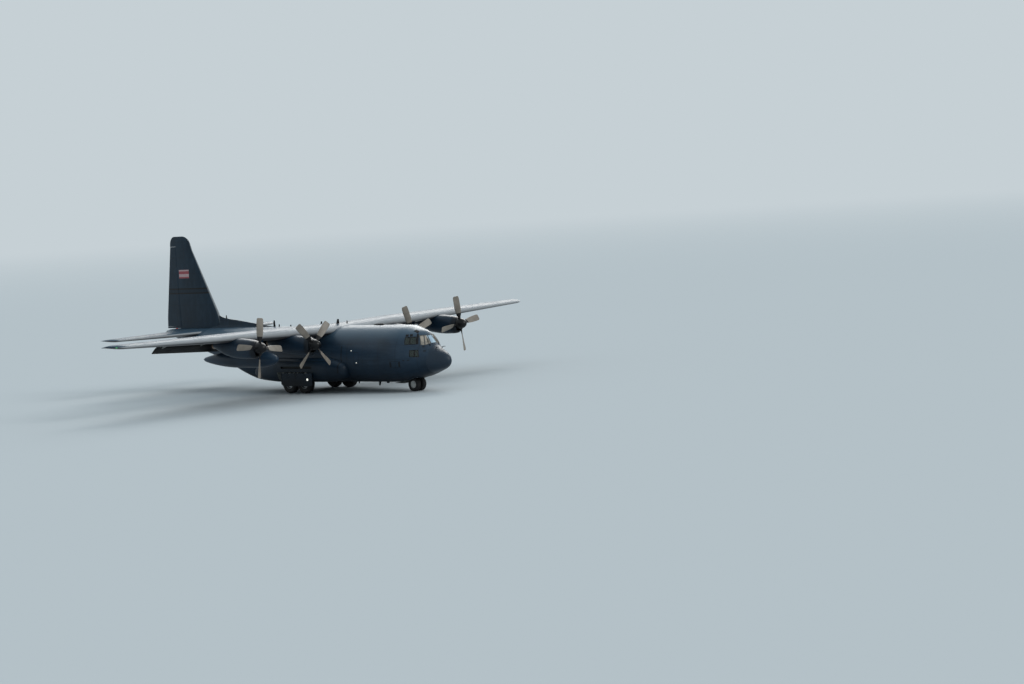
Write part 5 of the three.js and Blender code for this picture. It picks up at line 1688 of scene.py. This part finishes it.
PISTON = [(0, 0.58), (0.085, 0.58), (0.085, 0.86), (0.065, 0.87), (0.065, 1.15)]
CYLINDER = [(0.065, 1.15), (0.105, 1.16), (0.11, 1.22), (0.085, 1.24), (0.085, 1.799), (0, 1.799)]
BRAKE = [(0.0, 0), (0.19, 0), (0.21, 0.02), (0.21, 0.10), (0.19, 0.12), (0, 0.12)]
NOSE_POST = [(0.082, 1.02), (0.14, 1.02), (0.14, 1.10), (0.125, 1.12), (0.125, 1.749), (0.0, 1.749)]
LAMP_CAN = [(0, 0.0), (0.07, 0.0), (0.075, -0.08), (0.0, -0.082)]
LAMP_GLASS = [(0, 0.0), (0.062, 0.0), (0.05, -0.012), (0.0, -0.018)]
TAXI_LAMP_Z = 1.28


def sided(profile, side):
    """A profile that runs to port or to starboard."""
    return [(r, side * d) for r, d in profile]


def build_main_gear():
    s, radius, y, width = MAIN_GEAR
    for name, side in SIDES:
        leg_y = side * LEG_Y
        legs = []
        for end, offset in (("front", -MAIN_OFFSET), ("rear", MAIN_OFFSET)):
            at = s + offset
            body = f"main_wheel_{end}_{name}"
            piece(f"main_tyre_{end}_{name}", wheel(radius, width, side, 9, 0.08).moved(at, side * y, radius),
                  WHEEL_FINISHES, body, body, angle=40)
            legs += [
                lathe(PISTON, "z", (at, leg_y, 0), 28),
                lathe(CYLINDER, "z", (at, leg_y, 0), 28),
                tube([(at, leg_y, radius), (at, side * (y + 0.05), radius)], 0.075, 24),
                lathe(sided(BRAKE, side), "y", (at, side * 1.90, radius), 36, 1),
                torque_link(at, leg_y, radius + 0.05, 1.2, math.copysign(0.16, offset)),
            ]
        beam = bar(s - MAIN_OFFSET, s + MAIN_OFFSET, leg_y, 0.06, 1.48, 1.62)
        brace = tube([(s, leg_y, 1.5), (s - MAIN_OFFSET, leg_y, 0.95)], 0.03, 12)
        piece(f"main_gear_struts_{name}", joined(legs, beam, brace), [GEAR_PAINT, STEEL],
              replaces=f"main_gear_leg_{name}", bevel=0.006)


def build_nose_gear():
    s, radius, track, width = NOSE_GEAR
    wheels = [wheel(radius, width, side, 8, 0.05).moved(s, side * track, radius) for side in BOTH]
    axle = tube([(s, -0.33, radius), (s, 0.33, radius)], 0.055, 24, 2)
    piece("nose_tyres", joined(wheels, axle), [RUBBER, GEAR_PAINT, DUCT_AND_SHADE_BLACK, CHROME], "nose_wheels",
          "nose_wheels", angle=40)

    fork = [
        rod(0.08, radius, 1.385, "z", (s, 0, 0), 32, 1), rod(0.09, -0.095, 0.095, "y", (s, 0, radius), 32),
        bar(s - 0.20, s - 0.03, 0, 0.045, 0.555, 0.645), torque_link(s, 0, 0.60, 0.98, 0.24),
    ]
    piece("nose_fork", joined(fork), [GEAR_PAINT, CHROME], "nose_steering", "nose_gear_fork",
          bevel=0.005)

    jacks = [
        tube([(s + 0.02, side * 0.13, 1.20), (s + 0.32, side * 0.16, 1.24)], 0.035, 14, 1) for side in BOTH
    ]
    leg = [
        lathe(NOSE_POST, "z", (s, 0, 0), 36), tube([(s, 0, 1.12), (3.90, 0, 1.69)], 0.05, 16),
        bar(3.80, 4.00, 0, 0.08, 1.60, 1.749), *jacks,
        lathe(LAMP_CAN, "s", (s - 0.14, 0, TAXI_LAMP_Z), 28, 1),
    ]
    piece("nose_leg", joined(leg), [GEAR_PAINT, STEEL], replaces="nose_gear_leg",
          bevel=0.005)
    glass = lathe(LAMP_GLASS, "s", (s - 0.222, 0, TAXI_LAMP_Z), 28)
    piece("taxi_lamp", glass, CLEAR_LAMP)


DOOR_OUTLINE = [(10.95, 0.66), (11.12, 0.57), (13.95, 0.57), (14.15, 0.72), (14.15, 1.50), (10.95, 1.50)]
DOOR_ARM = [
    (2.56, 1.5493), (2.69, 1.5493), (2.91, 1.48), (2.91, 1.22), (2.871, 1.22), (2.80, 1.44), (2.56, 1.49),
]
DOOR_FACE = 2.87
LANDING_LAMP = [(0.085, 0.0), (0.09, 0.012), (0.06, 0.03), (0, 0.036), (0, 0)]


def build_gear_doors():
    for name, side in SIDES:
        panel, rib, rail = [sorted([side * y, side * DOOR_FACE]) for y in (2.91, 2.83, 2.835)]
        arm = [(side * y, z) for y, z in DOOR_ARM]
        parts = [prism(DOOR_OUTLINE, "y", *panel)]
        parts += [block(at - 0.02, at + 0.02, *rib, 0.62, 1.46, 1) for at in steps(11.15, 13.95, 0.35)]
        parts += [block(11.0, 14.1, *rail, z - 0.025, z + 0.025, 1) for z in (0.75, 1.35)]
        parts += [prism(arm, "s", at - 0.03, at + 0.03, 1) for at in (11.70, 12.55, 13.40, 14.05)]
        piece(f"main_gear_door_panel_{name}", joined(parts), [HULL_PAINT, WELL_PAINT],
              replaces=f"main_gear_door_{name}", bevel=0.006)
        glass = lathe(sided(LANDING_LAMP, side), "y", (11.40, side * 2.905, 1.05), 28)
        piece(f"landing_lamp_{name}", glass, CLEAR_LAMP)
    parts = [bar(4.08, 5.00, 0, 0.50, 0.59, 0.62)]
    parts += [bar(at - 0.015, at + 0.015, 0, 0.46, 0.62, 0.655, 1) for at in (4.3, 4.55, 4.8)]
    parts += [bar(4.20, 4.30, y, 0.04, 0.615, hull_bottom(4.25, y) + 0.01, 1) for y in (-0.3, 0.3)]
    piece("nose_gear_door_panel", joined(parts), [HULL_PAINT, WELL_PAINT], replaces="nose_gear_door",
          bevel=0.005)


# Cabin

SEAT_Y = 0.62
DECK_HALF = 0.88
DECK_PANEL = [(1.98, 2.29), (2.24, 2.29), (2.24, 2.70), (2.17, 3.13), (2.02, 3.16), (1.96, 2.95)]
DECK_HOOD = [(1.97, 3.10), (2.30, 3.16), (2.29, 3.19), (1.97, 3.18)]
PEDESTAL = [(2.24, 2.30), (2.95, 2.30), (2.95, 2.68), (2.60, 2.82), (2.22, 2.86)]
DIAL_BEZEL = [(0, 0.0), (0.055, 0.0), (0.06, 0.012), (0.05, 0.014), (0.048, 0.006), (0, 0.006)]
DIAL_FACE = [(0, 0.0075), (0.044, 0.0075)]
# The instrument panel's slope: heights and the stations there
PANEL_SLOPE = ([2.70, 3.13], [2.242, 2.172])
YOKE = [(-0.15, 3.12), (-0.21, 2.96), (0, 2.90), (0.21, 2.96), (0.15, 3.12)]


def build_flight_deck():
    deck = [
        bar(2.06, 4.14, 0, 1.10, 2.2507, 2.30), prism(DECK_PANEL, "y", -DECK_HALF, DECK_HALF),
        prism(DECK_HOOD, "y", -DECK_HALF, DECK_HALF), prism(PEDESTAL, "y", -0.17, 0.17),
    ]
    piece("flight_deck_body", joined(deck), CABIN_PAINT, replaces="flight_deck",
          bevel=0.008)
    parts = []
    for y in steps(-0.76, 0.76, 0.17):
        for z in (2.78, 2.93, 3.05):
            centre = (float(np.interp(z, *PANEL_SLOPE)), y, z)
            parts += [lathe(DIAL_BEZEL, "s", centre, 20), lathe(DIAL_FACE, "s", centre, 20, 1)]
    for y in (-0.105, -0.035, 0.035, 0.105):
        parts.append(tube([(2.62, y, 2.8), (2.58, y, 2.95)], 0.008, 8))
        parts.append(rod(0.022, -0.02, 0.02, "y", (2.58, y, 2.96), 14))
    for side in BOTH:
        y = side * SEAT_Y
        parts.append(tube([(2.36, y, 2.32), (2.42, y, 2.75), (2.44, y, 2.98)], 0.025, 12))
        parts.append(tube(bezier([(2.46, y + off, z) for off, z in YOKE], 16), 0.016, 10))
    piece("flight_controls", joined(parts), [INSTRUMENTS, DIAL])


def cushion(s0, s1, y0, y1, z0, z1, crown=0.03, count=12):
    """A crowned pad whose sides pull in between its corners."""
    u = np.linspace(-1, 1, count)
    middle = (z0 + z1) / 2
    top, low = [], []
    for a in u:
        for b in u:
            edge = (1 - a ** 4) * (1 - b ** 4)
            full = 0.35 + 0.65 * edge ** 0.4
            pull_s = 1 - 0.05 * (1 - b * b) * (abs(a) > 0.999)
            pull_y = 1 - 0.05 * (1 - a * a) * (abs(b) > 0.999)
            s = (s0 + s1) / 2 + a * pull_s * (s1 - s0) / 2
            y = (y0 + y1) / 2 + b * pull_y * (y1 - y0) / 2
            top.append((s, y, middle + (z1 - middle) * full + crown * edge))
            low.append((s, y, middle - (middle - z0) * full))
    grid = np.arange(count * count).reshape(count, count)
    under = count * count
    faces = []
    for i in range(count - 1):
        for j in range(count - 1):
            a, b, c, d = grid[i, j], grid[i, j + 1], grid[i + 1, j + 1], grid[i + 1, j]
            faces += [(a, b, c, d), (a + under, d + under, c + under, b + under)]
    ids = [*grid[:, 0], *grid[-1, 1:], *grid[-2::-1, -1], *grid[0, -2:0:-1]]
    faces += [(a, b, b + under, a + under) for a, b in zip(ids, ids[1:] + ids[:1])]
    return Shape(top + low, faces)


def build_seats():
    for name, side in SIDES:
        y = side * SEAT_Y
        pad = cushion(2.78, 3.24, y - 0.235, y + 0.235, 2.70, 2.82)
        back = cushion(-0.37, 0.37, y - 0.225, y + 0.225, -0.05, 0.05)
        back = back.pitched(math.radians(82)).moved(3.24, 0, 3.15)
        seat = piece(f"pilot_seat_pads_{name}", joined(pad, back), SEAT_CLOTH,
                     replaces=f"pilot_seat_{name}", angle=60)
        frame_parts = [
            block(2.80, 3.26, y - 0.24, y - 0.215, 2.62, 2.74),
            block(2.80, 3.26, y + 0.215, y + 0.24, 2.62, 2.74),
            bar(2.84, 3.22, y, 0.17, 2.60, 2.69), bar(2.92, 3.14, y, 0.10, 2.3007, 2.62),
        ]
        piece(f"pilot_seat_frame_{name}", joined(frame_parts), CABIN_PAINT, bevel=0.006)


def build_hold():
    parts = [bar(5.0, 17.33, 0, 1.47, 0.9707, 1.03)]
    parts += [bar(5.05, 17.28, y, 0.035, 1.03, 1.04, 1) for y in (-1.2, -0.55, 0.55, 1.2)]
    parts += [
        tube([(at, y - 0.12, 1.032), (at, y + 0.12, 1.032)], 0.018, 8, 1)
        for y in (-0.55, 0.55) for at in steps(5.3, 17.1, 0.6)
    ]
    piece("cargo_floor_panels", joined(parts), [FLOOR_METAL, STEEL],
          replaces="cargo_floor")
    ribs = []
    for at in steps(6.2, 16.9, 0.62):
        [row] = each(straight(HOLD, "s", at))
        rings = [
            [(at + shift, y, z) for _, y, z in hollow_ring(row, inset)]
            for shift, inset in ((-0.035, -0.01), (-0.035, 0.045), (0.035, 0.045), (0.035, -0.01))
        ]
        ribs.append(loft(rings, caps=False))
    piece("hold_frames", joined(ribs), WELL_PAINT)


# What stands out from the skin

CROWN_TOP = 4.84
ROOF_BLADES = [
    # station, foot where it isn't the hull's top, height, chord
    (17.61, None, 0.46, 0.26), (17.10, None, 0.16, 0.16), (15.86, None, 0.12, 0.16),
    (12.61, CROWN_TOP, 0.16, 0.22), (10.90, CROWN_TOP, 0.30, 0.34), (9.95, CROWN_TOP, 0.18, 0.16),
]
HUMP = [(0.0, 0.0), (0.10, 0.04), (0.16, 0.14), (0.17, 0.30), (0.15, 0.75), (0.10, 1.0), (0.0, 1.1)]
SIDE_LAMP = [(0.034, 0.0), (0.03, 0.016), (0, 0.02), (0, 0.0)]
TIP_LAMP = [(0.0, -0.09), (0.03, -0.07), (0.042, 0.0), (0.03, 0.10), (0.0, 0.14)]
TIP_LAMPS = {"left": RED_LAMP, "right": GREEN_LAMP}
BEACON = [(0.075, 0.0), (0.07, 0.05), (0.04, 0.09), (0.0, 0.10), (0.0, 0.0)]


def blade_antenna(s, z, height, chord, sweep):
    """A thin blade that tapers and leans aft. A height below nought hangs down."""
    rings = []
    for t in np.linspace(0, 1, 5):
        width = chord * (1 - 0.45 * t)
        ring = plain_foil(s + sweep * abs(height) * t, width, 0.16 * width, 8)
        rings.append([(a, b, z + height * t) for a, b in ring])
    return loft(rings)


def pitot(side):
    """An air speed probe on a short mast, on the nose ahead of the windshield."""
    y = side * 0.30
    foot = hull_top(1.0, y)
    tip, level = y + side * 0.04, foot + 0.13
    mast = bezier([(1.02, y, foot - 0.02), (1.0, y + side * 0.03, level), (0.86, tip, level)], 8)
    return joined(tube(mast, 0.022, 12), tube([(0.86, tip, level), (0.70, tip, level)], [0.022, 0.012], 12))


def build_fittings():
    parts = []
    for s, foot, height, chord in ROOF_BLADES:
        foot = hull_top(s) if foot is None else foot
        parts.append(blade_antenna(s - chord / 2, foot - 0.03, height + 0.03, chord, 0.1))
    parts += [
        blade_antenna(22.75, 5.34, 0.24, 0.16, 0.2), lathe(HUMP, "s", (6.20, 0, 4.62), 28),
        blade_antenna(6.85, hull_bottom(6.9) + 0.02, -0.34, 0.26, 0.4),
        blade_antenna(9.0, hull_bottom(9.1) + 0.02, -0.20, 0.18, 0.4),
        *[pitot(side) for side in BOTH],
    ]
    piece("antennas", joined(parts), TRIM_BLACK, angle=40)
    for name, side in SIDES:
        dots = [
            lathe(sided(SIDE_LAMP, side), "y", (s, side * (hull_half(s, z) - 0.004), z), 16)
            for s, z in ((7.56, 3.03), (7.08, 2.18))
        ]
        piece(f"side_lamps_{name}", joined(dots), CLEAR_LAMP)
    for name, side in SIDES:
        glass = lathe(TIP_LAMP, "s", (11.28, side * 20.03, 4.89), 20)
        piece(f"tip_lamp_{name}", glass, TIP_LAMPS[name])
    piece("beacon_lamp", lathe(BEACON, "z", (28.6, 0, 4.62), 20), RED_LAMP)


# Camera, light and floor

CAMERA_TURN = math.radians(42.12)
CAMERA_RISE = math.radians(3.56)
CAMERA_ROLL = math.radians(-3.72)
CAMERA_DISTANCE = 184.6
CAMERA_FOCUS = 2527.9
CAMERA_AIM = (-15.519, 0.488)
AIM_STATION = 15.0
AIM_HEIGHT = 4.0
FRAME_WIDTH_PX = 1024
SENSOR = 36.0
VIEW_LIMITS = (1.0, 3000.0)

BACKGROUND = srgb(198, 208, 213)
FLOOR = srgb(172, 180, 185)
FLOOR_CLOUD = srgb(170, 176, 180)
FLOOR_REACH = 900.0
FLOOR_FADE = (60.0, 420.0)
LIGHTS = [
    # name, strength, width, where it comes from
    ("broad light", 1.7, math.radians(40), (-0.45, 0.74, 0.58)),
    ("front light", 1.5, math.radians(30), (0.84, 0.16, 0.50)),
]
LIGHT_COLOUR = (1.0, 0.985, 0.95)


def build_camera():
    """The photograph's own viewpoint: an axis through a point amidships, then a slide across the view."""
    c, d = math.cos(CAMERA_TURN), math.sin(CAMERA_TURN)
    back = Vector((d * math.cos(CAMERA_RISE), -c * math.cos(CAMERA_RISE), math.sin(CAMERA_RISE)))
    level = Vector((c, d, 0.0))
    top = back.cross(level)
    right = math.cos(CAMERA_ROLL) * level + math.sin(CAMERA_ROLL) * top
    up = -math.sin(CAMERA_ROLL) * level + math.cos(CAMERA_ROLL) * top
    data = bpy.data.cameras.new("camera")
    data.sensor_width = SENSOR
    data.lens = CAMERA_FOCUS * SENSOR / FRAME_WIDTH_PX
    data.clip_start, data.clip_end = VIEW_LIMITS
    eye = back * CAMERA_DISTANCE - right * CAMERA_AIM[0] - up * CAMERA_AIM[1]
    eye += Vector((LENGTH / 2 - AIM_STATION, 0.0, AIM_HEIGHT))
    scene.camera = placed("camera", data)
    scene.camera.matrix_world = (
        Matrix.Translation(eye * MODEL_SCALE) @ Matrix((right, up, back)).transposed().to_4x4())


def build_floor():
    finish = Finish("studio floor", 0.9, Specular_IOR_Level=0.0)
    distance = add_node(finish.tree, "ShaderNodeVectorMath", Vector=finish.point)
    distance.operation = "LENGTH"
    fade = Value(distance.outputs["Value"]).ramp(*FLOOR_FADE, 1.0, 0.0)
    colour = finish.mix(finish.noise(0.05, 2) * 0.03, FLOOR, FLOOR_CLOUD)
    mesh = bpy.data.meshes.new("floor")
    corners = [(x * FLOOR_REACH, y * FLOOR_REACH, 0) for x, y in ((-1, -1), (1, -1), (1, 1), (-1, 1))]
    mesh.from_pydata(corners, [], [(0, 1, 2, 3)])
    mesh.materials.append(finish.painted(colour, Alpha=fade))
    placed("floor", mesh)


def build_lights():
    """A pale even sky all round, a broad light from behind and to port, and one from ahead."""
    world = bpy.data.worlds.new("studio")
    scene.world = world
    world.use_nodes = True
    backdrop = world.node_tree.nodes["Background"]
    backdrop.inputs["Color"].default_value = BACKGROUND
    backdrop.inputs["Strength"].default_value = 1.0
    for name, strength, width, direction in LIGHTS:
        data = bpy.data.lights.new(name, "SUN")
        data.energy = strength
        data.angle = width
        data.color = LIGHT_COLOUR
        made = placed(name, data)
        made.rotation_mode = "QUATERNION"
        made.rotation_quaternion = Vector(direction).to_track_quat("Z", "Y")
    scene.view_settings.view_transform = "Standard"


for build in (
        build_camera, build_floor, build_lights, build_fuselage, build_windows, build_wipers, build_doors,
        build_ramp, build_cargo_door, build_wing, build_flaps, build_tail, build_nacelles, build_propellers,
        build_tanks, build_pods, build_main_gear, build_nose_gear, build_gear_doors, build_flight_deck,
        build_seats, build_hold, build_fittings):
    build()
